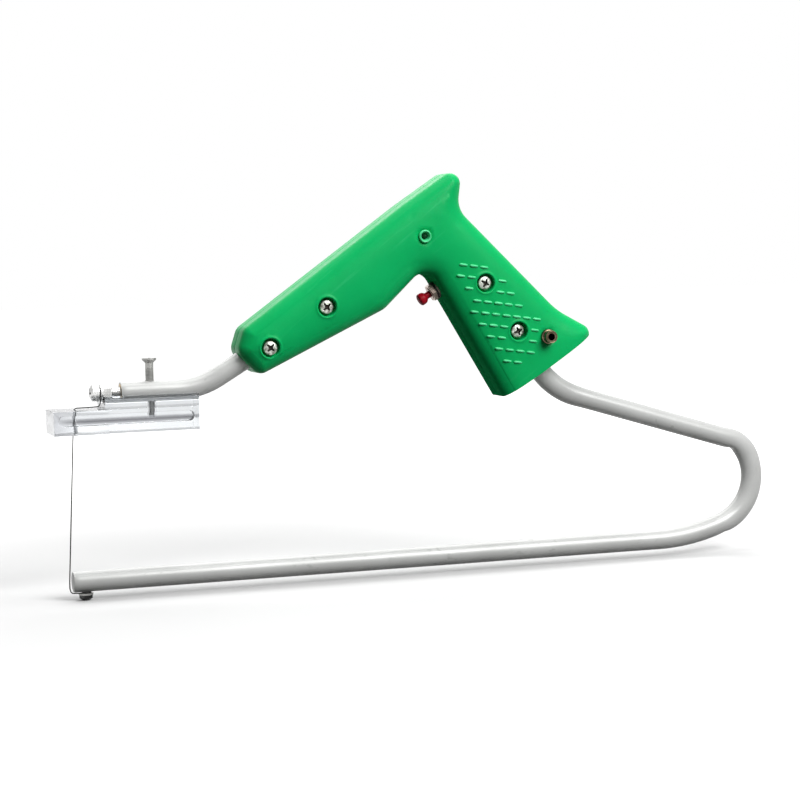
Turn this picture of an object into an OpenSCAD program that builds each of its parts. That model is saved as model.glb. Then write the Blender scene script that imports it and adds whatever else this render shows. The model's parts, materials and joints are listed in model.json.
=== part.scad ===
// Hot-wire foam cutter with a pistol handle, a tube bow and a clear wire guide.
// Millimetres. +X runs along the lower tube from the wire to the rear bend, -Y faces
// the side with the screw heads, +Z is up, and the end screw's head rests on z = 0.

/* [Bow tube] */
// Outside diameter of both tubes
tube_d = 10; // [8:0.5:12]
// Wall of both tubes
tube_wall = 1; // [0.8:0.1:1.5]
// How much thicker the tubes are at their bends
bend_swell = 0.1; // [0.06:0.02:0.3]
// How far the lower tube's open end lies in front of the wire's place at the guide
bow_end_x = 2.6; // [-7.7:0.1:8.3]
// Place where the lower run begins to rise
bend_x = 124.5; // [115:0.5:140]
// Radius of the lower run's rise, at the tube's axis
entry_r = 110; // [80:5:140]
// Turn of the lower run's rise
entry_deg = 20; // [14:1:24]
// Radius of the rear bend, at the tube's axis
bend_r = 26; // [22:0.5:30]
// Turn of the rear bend
bend_deg = 90; // [80:1:100]
// Radius of the tighter bend above it, at the tube's axis
exit_r = 17.5; // [15:0.5:22]
// Slope of the upper run behind the grip
rise_deg = 17; // [12:1:20]
// Slope of the tube inside the grip
neck_deg = 51.5; // [46:0.5:58]
// Radius of the bend below the grip, at the tube's axis
neck_r = 40; // [30:1:50]
// Length of tube past the screw that pins it in the grip
neck_over = 9; // [8:0.5:11]

/* [Nose tube] */
// Level stretch of the nose tube, from its bend to its open end
arm_end_x = 28; // [23.5:0.5:33.5]
// Slope of the tube inside the nose
nose_deg = 30; // [26:1:34]
// Radius of the bend in front of the nose, at the tube's axis
nose_r = 40; // [30:1:45]
// Length of tube past the screw that pins it in the nose
nose_over = 12; // [10:0.5:14]

/* [Handle] */
// Thickness of the whole handle
handle_t = 30; // [28:0.5:34]
// Radius of the handle's outer edges
edge_r = 5; // [3:0.5:5]
// Wall of the shells' side faces
shell_wall = 2.4; // [2:0.1:2.8]
// Wall of the shells' rim
rim_wall = 3.2; // [2.8:0.1:3.6]

/* [Shell screws] */
// Diameter of the screws' heads
screw_head_d = 7; // [6:0.1:8]
// Height of the screws' heads
screw_head_h = 2.2; // [1.8:0.1:2.6]
// Diameter of the screws' shanks
screw_d = 3.5; // [3:0.1:4]
// Length of the screws' shanks
screw_len = 19; // [16:0.5:22]
// Diameter of the recesses
recess_d = 10; // [9:0.5:11]
// Depth of the recesses
recess_depth = 3.6; // [3:0.1:4.5]
// Diameter of the bosses
boss_d = 8; // [7:0.5:9]

/* [Wire guide] */
// Height of the guide's underside
guide_z = 79.8; // [74:0.2:82]
// How far the guide's free end lies in front of the clamp screw
guide_x = 48.5; // [46:0.5:52]
// Length of the guide block
block_len = 70; // [66:1:76]
// Height of the guide block
block_h = 11.4; // [10.6:0.2:14]
// Depth of the guide block's front half
block_y = 25; // [22:0.5:28]
// Length of the guide block's deeper head
head_len = 26; // [22:1:30]
// How far the head stands proud of the rest
head_step = 2; // [1:0.5:3]
// Height of the finger groove in the block
groove_h = 5; // [4:0.5:6]
// Depth of the finger groove in the block
groove_depth = 6; // [4:0.5:7]
// Thickness of the plate that the tube lies in
plate_t = 6; // [5:0.5:7]
// Depth of the plate
plate_y = 21; // [18:0.5:23]
// How deep the tube sinks into the plate
tube_sink = 3.5; // [2.5:0.5:4]

/* [Hot wire] */
// Diameter of the hot wire
wire_d = 0.6; // [0.4:0.1:0.8]
// Diameter of the wire's hole through the guide block
wire_hole_d = 2; // [1.8:0.1:2.4]
// Place of the wire at the guide's underside, from the guide's free end
wire_top_x = 10.8; // [8.5:0.1:12.5]
// How far the wire stands off the lower tube's open end
wire_stand = 1.6; // [1:0.1:2]

/* [End screw] */
// Diameter of the end screw's shank
end_screw_d = 4; // [3:0.5:4]
// Diameter of the end screw's head
end_head_d = 6.4; // [6:0.2:7]
// Height of the end screw's head
end_head_h = 2.6; // [2:0.1:3]
// Diameter of the end washer
end_washer_d = 7; // [6.6:0.2:9]
// Thickness of the end washer
end_washer_t = 0.8; // [0.6:0.1:1]
// Place of the end screw, from the tube's open end
end_screw_in = 6; // [5.5:0.5:9]

/* [Terminal] */
// Diameter of the terminal screw
term_d = 5; // [4:0.5:5]
// Diameter of the terminal screw's head
term_head_d = 8; // [7:0.5:8.5]
// Thickness of the terminal screw's head
term_head_t = 3.4; // [2.8:0.2:3.6]
// Diameter of the terminal washers
term_washer_d = 8.6; // [8:0.2:9]
// Thickness of each terminal washer
term_washer_t = 1; // [0.8:0.1:1.2]
// Width of the terminal nut across its flats
term_nut_w = 8; // [7:0.5:8]
// Thickness of the terminal nut
term_nut_t = 4; // [3:0.2:4]
// Bare shank between the nut and the tube's end
term_bare = 4.8; // [4:0.2:6]
// Length of the plug in the tube's end
plug_len = 10; // [8:0.5:11]

/* [Clamp screw] */
// Place of the clamp screw, from the nose tube's open end
clamp_x = 14.5; // [12.5:0.5:20.5]
// Diameter of the clamp screw's shank
clamp_d = 4; // [3:0.5:4.5]
// Diameter of the clamp screw's head
clamp_head_d = 7; // [6.5:0.5:8]
// How far the clamp screw's head stands above the tube
clamp_proud = 10.6; // [8:0.2:12]
// Depth of the clamp screw in the guide block
clamp_in = 4; // [3:0.5:5.5]

/* [Button and switch] */
// Travel of the button
travel = 2; // [1:0.1:2.2]
// Diameter of the button's tip
cap_d = 6.2; // [5:0.2:7]
// Length of the button's cap
cap_len = 4.4; // [4:0.2:6]
// Diameter of the button's stem
stem_d = 3.4; // [3:0.1:4]
// Diameter of the switch bush
bush_d = 6; // [5.4:0.1:6.6]
// How far the bush stands out of the grip
bush_out = 4.2; // [4:0.1:6]
// Width of the switch nut across its flats
nut_w = 8; // [7.5:0.1:9]
// Thickness of the switch nut
nut_t = 2.1; // [1.6:0.1:2.6]
// Diameter of the dark washer
dark_washer_d = 9; // [8:0.2:11]
// Thickness of the dark washer
dark_washer_t = 1; // [0.8:0.1:1.2]
// Diameter of the pale ring
pale_ring_d = 8.6; // [8:0.2:10]
// Thickness of the pale ring
pale_ring_t = 0.8; // [0.6:0.1:1]
// Width of the switch body
switch_w = 10; // [9:0.5:11]
// Length of the switch body
switch_len = 10.8; // [10:0.2:11]
// Wall at the back of the switch body
switch_back = 1.4; // [1:0.1:2]
// Length of the switch's solder tags
tag_len = 4.5; // [3.5:0.5:5.5]

/* [Power socket] */
// Bore of the power socket
socket_bore = 3.6; // [3.5:0.05:3.8]
// Diameter of the socket's barrel
barrel_d = 5; // [4.8:0.1:5.4]
// Length of the socket's barrel
barrel_len = 14; // [12:0.5:15]
// Diameter of the sleeve nut round the barrel
sleeve_d = 7.4; // [7:0.1:8]
// How far the sleeve nut stands out of the handle
socket_proud = 6; // [4:0.5:7]
// How far the barrel ends below the sleeve nut's rim
barrel_drop = 0.4; // [0.2:0.1:0.8]
// Diameter of the socket's housing
housing_d = 8; // [7:0.2:8.4]
// Length of the socket's housing
housing_len = 12; // [10:0.5:12]
// Length of the socket's solder tags
socket_tag_len = 4; // [3:0.5:5]

/* [Indicator] */
// Diameter of the indicator's rim
bezel_d = 6.4; // [6:0.1:7.4]
// How far the rim stands out of the handle
bezel_proud = 1.2; // [0.8:0.1:1.6]
// Diameter of the indicator's neck
bezel_neck_d = 5; // [4.8:0.1:5.4]
// Diameter of the lamp
lamp_d = 3; // [2.8:0.1:3.2]
// Length of the lamp's legs
leg_len = 8; // [6:0.5:9]

/* [Leads] */
// Diameter of the inner leads
lead_d = 1.4; // [1:0.1:1.6]

/* [Clearances] */
// Gap round a piece that is pushed into its seat
fit = 0.05; // [0.03:0.01:0.1]
// Gap round a screw in its hole
hole_fit = 0.1; // [0.05:0.01:0.2]
// Gap round the tubes in the handle and the guide
seat_fit = 0.15; // [0.1:0.05:0.3]
// Gap round the moving stem
run_fit = 0.1; // [0.05:0.01:0.2]

/* [Hidden] */
$fn = 48;

// Half of the handle's thickness, and the floor of its inner space
half_t = handle_t / 2;
inner_y = half_t - shell_wall;
// The split plane's place: with it the socket's reach is shared by both sides
mid_y = socket_proud / 2;

// Handle outline in x and z, counter-clockwise from the nose's lower corner: x, z, corner radius
handle_corners = [
    [-88, 103.8, 5.2], [-23.5, 134, 12], [-1, 155.4, 7.6], [48, 70.6, 5.2], [76, 86.8, 5.2],
    [86, 120.4, 5.2], [67.5, 130.6, 40], [15.8, 182.4, 12], [19, 205.4, 5.2], [-13, 184.6, 60],
    [-95, 126.8, 6.5], [-98.6, 115.8, 6.5]
];
notch_i = 2;
corner_steps = 6;
edge_steps = 6;
// The grip is cut off square at this corner, along this slope
base_corner = [38, 88.2];
base_deg = 32;

// Places of the shell screws in x and z: nose, barrel, upper grip, lower grip
nose_pin = [-83.4, 117.4];
barrel_pin = [-54.7, 136.1];
grip_pin = [27.2, 145.3];
neck_pin = [44.1, 120.9];
screw_places = [nose_pin, barrel_pin, grip_pin, neck_pin];
socket_at = [59.4, 117.6];
lamp_at = [-4.1, 169.1];

// Heights that follow from what stands on what
bow_z = end_head_h + end_washer_t + wire_d + tube_d / 2;
plate_z = guide_z + block_h;
arm_z = plate_z + plate_t - tube_sink + tube_d / 2;
tube_r = tube_d / 2;
seat_d = tube_d + 2 * seat_fit;

// Directions in the x, z plane
function dir(deg) = [cos(deg), sin(deg)];
function unit(v) = v / norm(v);
function left_of(d) = [-d.y, d.x];
function cross2(a, b) = a.x * b.y - a.y * b.x;
// Where the line from p along d crosses the line from q along e
function meet(p, d, q, e) = p + d * cross2(q - p, e) / cross2(d, e);
function to3(p, y = 0) = [p.x, y, p.y];

// How far one piece of a tube laps into the next
lap = 0.5;

// Bow: the three rear bends end to end, the run's upper tangent point, and the corner below the grip
function arc_end(p, deg, r, sweep) = p + r * (left_of(dir(deg)) + dir(deg + sweep - 90));
exit_deg = 180 - rise_deg - entry_deg - bend_deg;
entry_end = arc_end([bend_x, bow_z], 0, entry_r, entry_deg);
bend_end = arc_end(entry_end, entry_deg, bend_r, bend_deg);
bend_top = arc_end(bend_end, entry_deg + bend_deg, exit_r, exit_deg);
run_dir = dir(180 - rise_deg);
neck_dir = dir(180 - neck_deg);
neck_k = meet(neck_pin, neck_dir, bend_top, run_dir);
neck_t = neck_r * tan((neck_deg - rise_deg) / 2);

// Nose tube: the corner where its sloping axis meets the level one
nose_dir = dir(nose_deg);
nose_k = meet(nose_pin, nose_dir, [0, arm_z], [1, 0]);
nose_t = nose_r * tan(nose_deg / 2);

// Places along X at the front, each from the piece that carries it
arm_end = nose_k.x - nose_t - arm_end_x;
clamp_at = arm_end + clamp_x;
guide_end = clamp_at - guide_x;
wire_top = guide_end + wire_top_x;
bow_end = wire_top - bow_end_x;

// Button axis: square to the grip's front, its washers just clear of the notch's curve
notch = handle_corners[notch_i];
front_dir = unit([for (k = [0, 1]) handle_corners[notch_i + 1][k] - notch[k]]);
under_dir = unit([for (k = [0, 1]) notch[k] - handle_corners[notch_i - 1][k]]);
notch_turn = acos(front_dir * under_dir);
washer_clear = 0.6;
button_at = [notch.x, notch.y]
    + front_dir * (notch.z * tan(notch_turn / 2) + max(dark_washer_d, pale_ring_d) / 2 + washer_clear);
button_in = left_of(front_dir);
button_deg = atan2(button_in.y, button_in.x);

// Stations along the button axis, from the grip's front, inward positive
ring_u = -pale_ring_t;
dark_u = ring_u - dark_washer_t;
nut_u = dark_u - nut_t;
bush_in_u = rim_wall + 1.8;
cap_gap = 0.2;
cap_u = -bush_out - cap_gap - travel;
flange_t = 1.2;
flange_u = bush_in_u + run_fit;
switch_end_u = rim_wall + switch_len;
spring_end_u = switch_end_u - switch_back;
spring_wire = 0.5;
spring_turns = 4;
spring_room = 0.1;

// Stations along the terminal axis, from the tube's end towards the free end
nut_x = arm_end - term_bare - term_nut_t;
loop_room = 0.1;
inner_washer_x = nut_x - term_washer_t;
loop_x = inner_washer_x - loop_room / 2 - wire_d / 2;
outer_washer_x = loop_x - wire_d / 2 - loop_room / 2 - term_washer_t;
term_head_x = outer_washer_x - term_head_t;
end_screw_x = bow_end + end_screw_in;
lower_x = bow_end - wire_stand;

// The slope of the hot wire between the guide and the lower tube's end, and the plate's end clear of it
wire_lean = (lower_x - wire_top) / (guide_z - bow_z);
function wire_x(z) = wire_top + wire_lean * (guide_z - z);
plate_x = max(inner_washer_x + term_washer_t / 2, wire_x(plate_z) + 3 * wire_d);

// Frames and sweeps

module in_frame() {
    translate([0, mid_y, 0]) children();
}

// Puts local +X along a slope in the x, z plane
module along(p, deg) {
    translate([p.x, 0, p.y]) rotate([0, -deg, 0]) children();
}

// A rod along local X between two stations
module x_rod(d, x0, x1) {
    translate([x0, 0, 0]) rotate([0, 90, 0]) cylinder(d = d, h = x1 - x0);
}

// A rod along Y between two places
module y_rod(p, d, y0, y1) {
    translate([p.x, y0, p.y]) rotate([-90, 0, 0]) cylinder(d = d, h = y1 - y0);
}

// Faces of a skin over equal rings of n points, with both ends closed
function skin_sides(rings, n) = [
    for (i = [0 : rings - 2]) for (j = [0 : n - 1])
        let (k = (j + 1) % n)
        [i * n + j, (i + 1) * n + j, (i + 1) * n + k, i * n + k]
];

// Rings carried along a path without twisting, and the closed tube over them
function path_dir(p, i) = unit(p[min(i + 1, len(p) - 1)] - p[max(i - 1, 0)]);
function carried(p, u, i = 0) = i == len(p) ? [] :
    let (t = path_dir(p, i), v = unit(u - (u * t) * t))
    concat([[v, cross(t, v)]], carried(p, v, i + 1));

module swept(path, d, up, sides = 8) {
    frames = carried(path, up);
    pts = [
        for (i = [0 : len(path) - 1]) for (j = [0 : sides - 1])
            path[i] + d / 2 * (cos(360 * j / sides) * frames[i][0] + sin(360 * j / sides) * frames[i][1])
    ];
    last = (len(path) - 1) * sides;
    ends = [
        [for (j = [0 : sides - 1]) j],
        [for (j = [sides - 1 : -1 : 0]) last + j]
    ];
    polyhedron(points = pts, faces = concat(skin_sides(len(path), sides), ends));
}

// A smooth curve through hand-placed points, with steps pieces between neighbours
function between(a, b, c, d, t) = 0.5 * (2 * b + (c - a) * t + (2 * a - 5 * b + 4 * c - d) * t * t
    + (3 * b - a - 3 * c + d) * t * t * t);
function smooth(p, steps = 4) = concat(
    [
        for (i = [0 : len(p) - 2]) for (s = [0 : steps - 1])
            between(p[max(i - 1, 0)], p[i], p[i + 1], p[min(i + 2, len(p) - 1)], s / steps)
    ],
    [p[len(p) - 1]]
);

// Handle outline: each corner moved in by d and rounded

function corner_xy(i) = let (c = handle_corners[(i + len(handle_corners)) % len(handle_corners)]) [c.x, c.y];
function rounded_corner(i, d) =
    let (
        p = corner_xy(i),
        a = unit(p - corner_xy(i - 1)),
        b = unit(corner_xy(i + 1) - p),
        side = sign(cross2(a, b)),
        turn = acos(a * b),
        moved = p + d * (left_of(a) + left_of(b)) / (1 + a * b),
        r = max(handle_corners[i].z - side * d, 0.2),
        start = moved - a * r * tan(turn / 2),
        centre = start + side * r * left_of(a),
        first = atan2(start.y - centre.y, start.x - centre.x)
    )
    [for (s = [0 : corner_steps]) centre + r * dir(first + side * turn * s / corner_steps)];
function outline(d) = [for (i = [0 : len(handle_corners) - 1]) each rounded_corner(i, d)];

// Triangles of a flat outline, by cutting off one ear at a time
function in_ear(q, a, b, c) =
    cross2(b - a, q - a) > 0 && cross2(c - b, q - b) > 0 && cross2(a - c, q - c) > 0;
function is_ear(p, idx, i) =
    let (n = len(idx), a = p[idx[(i + n - 1) % n]], b = p[idx[i]], c = p[idx[(i + 1) % n]])
    cross2(b - a, c - b) > 0 && len([for (q = idx) if (in_ear(p[q], a, b, c)) 1]) == 0;
function first_ear(p, idx, i = 0) = i == len(idx) - 1 || is_ear(p, idx, i) ? i : first_ear(p, idx, i + 1);
function ears(p, idx) = len(idx) == 3 ? [idx] :
    let (n = len(idx), i = first_ear(p, idx))
    concat(
        [[idx[(i + n - 1) % n], idx[i], idx[(i + 1) % n]]],
        ears(p, [for (k = [0 : n - 1]) if (k != i) idx[k]])
    );

// One half of the handle's outer form, on the -Y side of the split plane
module half_form() {
    levels = concat(
        [[0, 0]],
        [for (k = [0 : edge_steps]) [
            edge_r * (1 - cos(90 * k / edge_steps)),
            half_t - edge_r + edge_r * sin(90 * k / edge_steps)
        ]]
    );
    n = len(outline(0));
    pts = [for (l = levels) for (p = outline(l[0])) [p.x, -l[1], p.y]];
    flat = ears(outline(0), [for (j = [0 : n - 1]) j]);
    flat_top = ears(outline(edge_r), [for (j = [0 : n - 1]) j]);
    last = (len(levels) - 1) * n;
    polyhedron(points = pts, faces = concat(
        flat,
        skin_sides(len(levels), n),
        [for (t = flat_top) [last + t[2], last + t[1], last + t[0]]]
    ));
}

module inner_space() {
    over = 1;
    translate([0, over, 0]) rotate([90, 0, 0])
        linear_extrude(inner_y + over) polygon(outline(rim_wall));
}

// The tubes' seats in the shells: the straight stretches that the walls and bosses hold
module tube_seats(d) {
    reach = 60;
    along(nose_pin, nose_deg) x_rod(d, -reach, nose_over);
    along(neck_pin, 180 - neck_deg) x_rod(d, -reach, neck_over);
}

// Everything below the grip's base, which is cut off square
module below_base() {
    big = 60;
    along(base_corner, base_deg) translate([-big, -big, -2 * big]) cube([3 * big, 2 * big, 2 * big]);
}

module hollow_half() {
    difference() {
        half_form();
        inner_space();
        below_base();
    }
    // The floor that closes the grip's base
    intersection() {
        rotate([90, 0, 0]) linear_extrude(inner_y + 0.2) polygon(outline(rim_wall - 0.2));
        along(base_corner, base_deg) translate([0, -half_t, 0])
            cube([2 * half_t + tube_d * 2, half_t, rim_wall]);
    }
}

module switch_hole() {
    along(button_at, button_deg) x_rod(bush_d + 2 * hole_fit, -bush_out, bush_in_u);
}

// Shells and their screws

seat_y = half_t - recess_depth;
recess_floor = 1.6;

module handle_shell_near() {
    color("mediumseagreen") in_frame() difference() {
        union() {
            hollow_half();
            for (p = screw_places) {
                y_rod(p, recess_d + 2 * recess_floor, -inner_y - 0.2, -seat_y + recess_floor);
                y_rod(p, boss_d, -inner_y, 0);
            }
        }
        tube_seats(seat_d);
        switch_hole();
        for (p = screw_places) {
            y_rod(p, recess_d, -half_t - 1, -seat_y);
            y_rod(p, screw_d + 2 * hole_fit, -half_t, 1);
        }
        y_rod(lamp_at, bezel_neck_d + 2 * fit, -half_t - 1, 0);
        y_rod(socket_at, barrel_d + 2 * hole_fit, -half_t - 1, 0);
    }
}

module handle_shell_far() {
    color("seagreen") in_frame() difference() {
        union() {
            mirror([0, 1, 0]) hollow_half();
            for (p = screw_places) y_rod(p, boss_d, 0, inner_y + 0.2);
        }
        tube_seats(seat_d);
        switch_hole();
        for (p = screw_places) y_rod(p, screw_d + 2 * hole_fit, -1, screw_len - seat_y + 1);
    }
}

// A pan head from z = 0 up, its top crowned
module pan_head(d, h) {
    crown = 0.4 * h;
    ball = (d * d / 4 + crown * crown) / (2 * crown);
    intersection() {
        cylinder(d = d, h = h);
        translate([0, 0, h - ball]) sphere(r = ball, $fn = 96);
    }
}

// A cross for a screwdriver, cut down from z = 0
module cross_cut(size, depth) {
    for (a = [0, 90]) rotate([0, 0, a]) translate([-size / 2, -size / 9, -depth])
        cube([size, size / 4.5, depth + 1]);
}

module shell_screws() {
    turns = [20, 55, 10, 70];
    color("silver") in_frame() for (i = [0 : 3])
        translate([screw_places[i].x, -seat_y, screw_places[i].y]) rotate([90, turns[i], 0]) difference() {
            union() {
                pan_head(screw_head_d, screw_head_h);
                translate([0, 0, -screw_len]) cylinder(d = screw_d, h = screw_len);
            }
            translate([0, 0, screw_head_h]) cross_cut(0.6 * screw_head_d, 0.65 * screw_head_h);
        }
}

// Tubes: straight pieces and bends, each drawn from the end of the one before it

// A straight tube along local X; where it meets a bend it laps into it
module pipe(len, lap_from = 0, lap_to = 0) {
    difference() {
        x_rod(tube_d, -lap_from, len + lap_to);
        x_rod(tube_d - 2 * tube_wall, -lap_from - 1, len + lap_to + 1);
    }
}

// A bend towards +Z that starts at the local origin along +X, swelled a little by the bending
module pipe_bend(r, sweep, swell, lap_from = 0, lap_to = 0) {
    from_deg = lap_from / r * 180 / PI;
    to_deg = lap_to / r * 180 / PI;
    translate([0, 0, r]) rotate([90, 0, 0]) rotate([0, 0, -90 - from_deg])
        rotate_extrude(angle = sweep + from_deg + to_deg, $fn = 96) translate([r, 0]) difference() {
            circle(d = tube_d + swell);
            circle(d = tube_d - 2 * tube_wall - swell);
        }
}

// Moves what follows to the end of a bend
module past_bend(r, sweep) {
    translate([0, 0, r]) rotate([0, -sweep, 0]) translate([0, 0, -r]) children();
}

module bow_tube() {
    lower_len = bend_x - bow_end;
    run_len = (neck_k - bend_top) * run_dir - neck_t;
    neck_len = (neck_pin - neck_k) * neck_dir - neck_t + neck_over;
    color("gainsboro") in_frame() difference() {
        translate([bow_end, 0, bow_z]) {
            pipe(lower_len, 0, lap);
            translate([lower_len, 0, 0]) {
                pipe_bend(entry_r, entry_deg, bend_swell, 0, lap);
                past_bend(entry_r, entry_deg) {
                    pipe_bend(bend_r, bend_deg, 2 * bend_swell);
                    past_bend(bend_r, bend_deg) {
                        pipe_bend(exit_r, exit_deg, bend_swell, lap, 0);
                        past_bend(exit_r, exit_deg) upper_run(run_len, neck_len);
                    }
                }
            }
        }
        y_rod(neck_pin, screw_d + 4 * hole_fit, -tube_d, tube_d);
        translate([end_screw_x, 0, 0]) cylinder(d = end_screw_d + 2 * hole_fit, h = bow_z);
    }
}

// The bow from the top of the rear bends into the grip
module upper_run(run_len, neck_len) {
    pipe(run_len, lap, lap);
    translate([run_len, 0, 0]) mirror([0, 0, 1]) {
        pipe_bend(neck_r, neck_deg - rise_deg, bend_swell);
        past_bend(neck_r, neck_deg - rise_deg) pipe(neck_len, lap, 0);
    }
}

module nose_tube() {
    slope_len = (nose_pin - nose_k) * nose_dir - nose_t + nose_over;
    color("gainsboro") in_frame() difference() {
        translate([arm_end, 0, arm_z]) {
            pipe(arm_end_x, 0, lap);
            translate([arm_end_x, 0, 0]) {
                pipe_bend(nose_r, nose_deg, bend_swell);
                past_bend(nose_r, nose_deg) pipe(slope_len, lap, 0);
            }
        }
        y_rod(nose_pin, screw_d + 4 * hole_fit, -tube_d, tube_d);
        translate([clamp_at, 0, arm_z - tube_d]) cylinder(d = clamp_d + 2 * hole_fit, h = 2 * tube_d);
    }
}

// Wire guide: a clear block with a finger groove, and the clear plate that the tube lies in

module guide_block() {
    back_y = block_y / 2;
    groove_z = guide_z + 0.6 * block_h;
    groove_end = groove_h;
    color("lightcyan", 0.5) in_frame() difference() {
        union() {
            translate([guide_end, -back_y, guide_z]) cube([head_len, block_y, block_h]);
            translate([guide_end + head_len, -back_y + head_step, guide_z])
                cube([block_len - head_len, block_y - head_step, block_h]);
        }
        // Finger groove with round ends, on the front
        for (x = [guide_end + groove_end, guide_end + block_len - groove_end])
            y_rod([x, groove_z], groove_h, -back_y - 1, -back_y + groove_depth);
        translate([guide_end + groove_end, -back_y - 1, groove_z - groove_h / 2])
            cube([block_len - 2 * groove_end, groove_depth + 1, groove_h]);
        translate([(wire_x(guide_z) + wire_x(plate_z)) / 2, 0, guide_z - 1])
            cylinder(d = wire_hole_d, h = block_h + 2);
        translate([clamp_at, 0, plate_z - clamp_in - 1])
            cylinder(d = clamp_d + 2 * hole_fit, h = clamp_in + 2);
    }
}

module guide_plate() {
    color("lightcyan", 0.5) in_frame() difference() {
        translate([plate_x, -plate_y / 2, plate_z])
            cube([guide_end + block_len - plate_x, plate_y, plate_t]);
        translate([0, 0, arm_z]) x_rod(seat_d, plate_x - 1, guide_end + block_len + 1);
        translate([clamp_at, 0, plate_z - 1]) cylinder(d = clamp_d + 2 * hole_fit, h = plate_t + 2);
    }
}

module clamp_screw() {
    rim = 0.8;
    top_z = arm_z + tube_r + clamp_proud;
    cone = (clamp_head_d - clamp_d) / 2;
    tip_z = plate_z - clamp_in;
    color("silver") in_frame() translate([clamp_at, 0, 0]) difference() {
        union() {
            translate([0, 0, top_z - rim]) cylinder(d = clamp_head_d, h = rim);
            translate([0, 0, top_z - rim - cone]) cylinder(d1 = clamp_d, d2 = clamp_head_d, h = cone);
            translate([0, 0, tip_z]) cylinder(d = clamp_d, h = top_z - rim - cone - tip_z);
        }
        translate([0, 0, top_z]) cross_cut(0.62 * clamp_head_d, 1.4);
    }
}

// Terminal at the nose tube's end

module nose_end_plug() {
    color("goldenrod") in_frame() translate([0, 0, arm_z]) difference() {
        x_rod(tube_d - 2 * tube_wall - 2 * fit, arm_end, arm_end + plug_len);
        x_rod(term_d + 2 * fit, arm_end - 1, arm_end + plug_len + 1);
    }
}

module terminal_screw() {
    color("silver") in_frame() translate([0, 0, arm_z]) difference() {
        union() {
            x_rod(term_d, outer_washer_x, arm_end + plug_len);
            translate([outer_washer_x, 0, 0]) rotate([0, -90, 0]) pan_head(term_head_d, term_head_t);
        }
        translate([term_head_x, 0, 0]) rotate([0, -90, 0]) cross_cut(0.6 * term_head_d, 0.6 * term_head_t);
    }
}

module terminal_washers() {
    places = [outer_washer_x, inner_washer_x];
    color("lightgray") in_frame() translate([0, 0, arm_z]) for (x = places) difference() {
        x_rod(term_washer_d, x, x + term_washer_t);
        x_rod(term_d + 2 * fit, x - 1, x + term_washer_t + 1);
    }
}

// A hexagon nut along local X
module hex_nut(width, t, bore) {
    difference() {
        rotate([0, 90, 0]) rotate([0, 0, 30]) cylinder(d = width / cos(30), h = t, $fn = 6);
        x_rod(bore, -1, t + 1);
    }
}

module terminal_nut() {
    color("darkgray") in_frame() translate([nut_x, 0, arm_z]) rotate([90, 0, 0])
        hex_nut(term_nut_w, term_nut_t, term_d + 2 * fit);
}

// Hot wire: a loop under the terminal's washer, through the guide, taut to the lower tube's
// end, round its rim and once round the end screw

module hot_wire() {
    loop_r = term_d / 2 + wire_d / 2 + loop_room;
    low_z = plate_z + 1.5 * wire_d;
    top_loop = [for (a = [-60 : 30 : 180]) [loop_x, loop_r * cos(a), arm_z + loop_r * sin(a)]];
    over_guide = [
        [loop_x, -loop_r, low_z + 3 * wire_d],
        [loop_x - 1.5 * wire_d, -loop_r, low_z + wire_d / 2],
        [(loop_x + wire_x(plate_z)) / 2, -loop_r / 2, low_z],
        [wire_x(plate_z) + 2 * wire_d, 0, low_z - wire_d / 4],
        [wire_x(plate_z) + wire_d / 4, 0, plate_z]
    ];
    mid_z = guide_z + block_h / 2;
    taut = [for (k = [0 : 4]) let (z = mid_z + (bow_z - mid_z) * k / 4) [wire_x(z), 0, z]];
    grip_z = bow_z - tube_r - wire_d / 2;
    grip_r = end_screw_d / 2 + wire_d / 2 + loop_room;
    under = [
        [lower_x, 0, bow_z - 0.6 * tube_r],
        [lower_x + 0.25 * wire_stand, 0, grip_z + 1.2 * wire_d],
        [lower_x + 0.7 * wire_stand, 0, grip_z],
        [(bow_end + end_screw_x - grip_r) / 2, -0.6 * grip_r, grip_z]
    ];
    end_loop = [for (a = [-90 : 30 : 90]) [end_screw_x + grip_r * cos(a), grip_r * sin(a), grip_z]];
    path = concat(top_loop, over_guide, taut, under, end_loop);
    color("dimgray") in_frame() swept(path, wire_d, [1, 0, 0], 6);
}

// A plug in the lower tube's end, with a blind hole for the end screw
module bow_end_plug() {
    hole_top = tube_r / 2 + hole_fit;
    color("silver") in_frame() translate([0, 0, bow_z]) difference() {
        x_rod(tube_d - 2 * tube_wall - 2 * fit, bow_end, end_screw_x + end_screw_d);
        translate([end_screw_x, 0, -tube_d]) cylinder(d = end_screw_d + 2 * fit, h = tube_d + hole_top);
    }
}

module wire_end_screw() {
    tip_z = bow_z + tube_r / 2;
    color("dimgray") in_frame() translate([end_screw_x, 0, 0]) difference() {
        union() {
            translate([0, 0, end_head_h]) mirror([0, 0, 1]) pan_head(end_head_d, end_head_h);
            translate([0, 0, end_head_h]) cylinder(d = end_screw_d, h = tip_z - end_head_h);
        }
        mirror([0, 0, 1]) cross_cut(0.6 * end_head_d, 0.6 * end_head_h);
    }
}

module wire_end_washer() {
    color("lightgray") in_frame() translate([end_screw_x, 0, end_head_h]) difference() {
        cylinder(d = end_washer_d, h = end_washer_t);
        translate([0, 0, -1]) cylinder(d = end_screw_d + 2 * fit, h = end_washer_t + 2);
    }
}

// Button and switch, along the button axis

module on_button_axis() {
    in_frame() along(button_at, button_deg) children();
}

// A solid of revolution about local X: its profile's x is the radius and its y the station
module turned(profile) {
    rotate([0, 90, 0]) rotate_extrude() polygon(profile);
}

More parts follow.
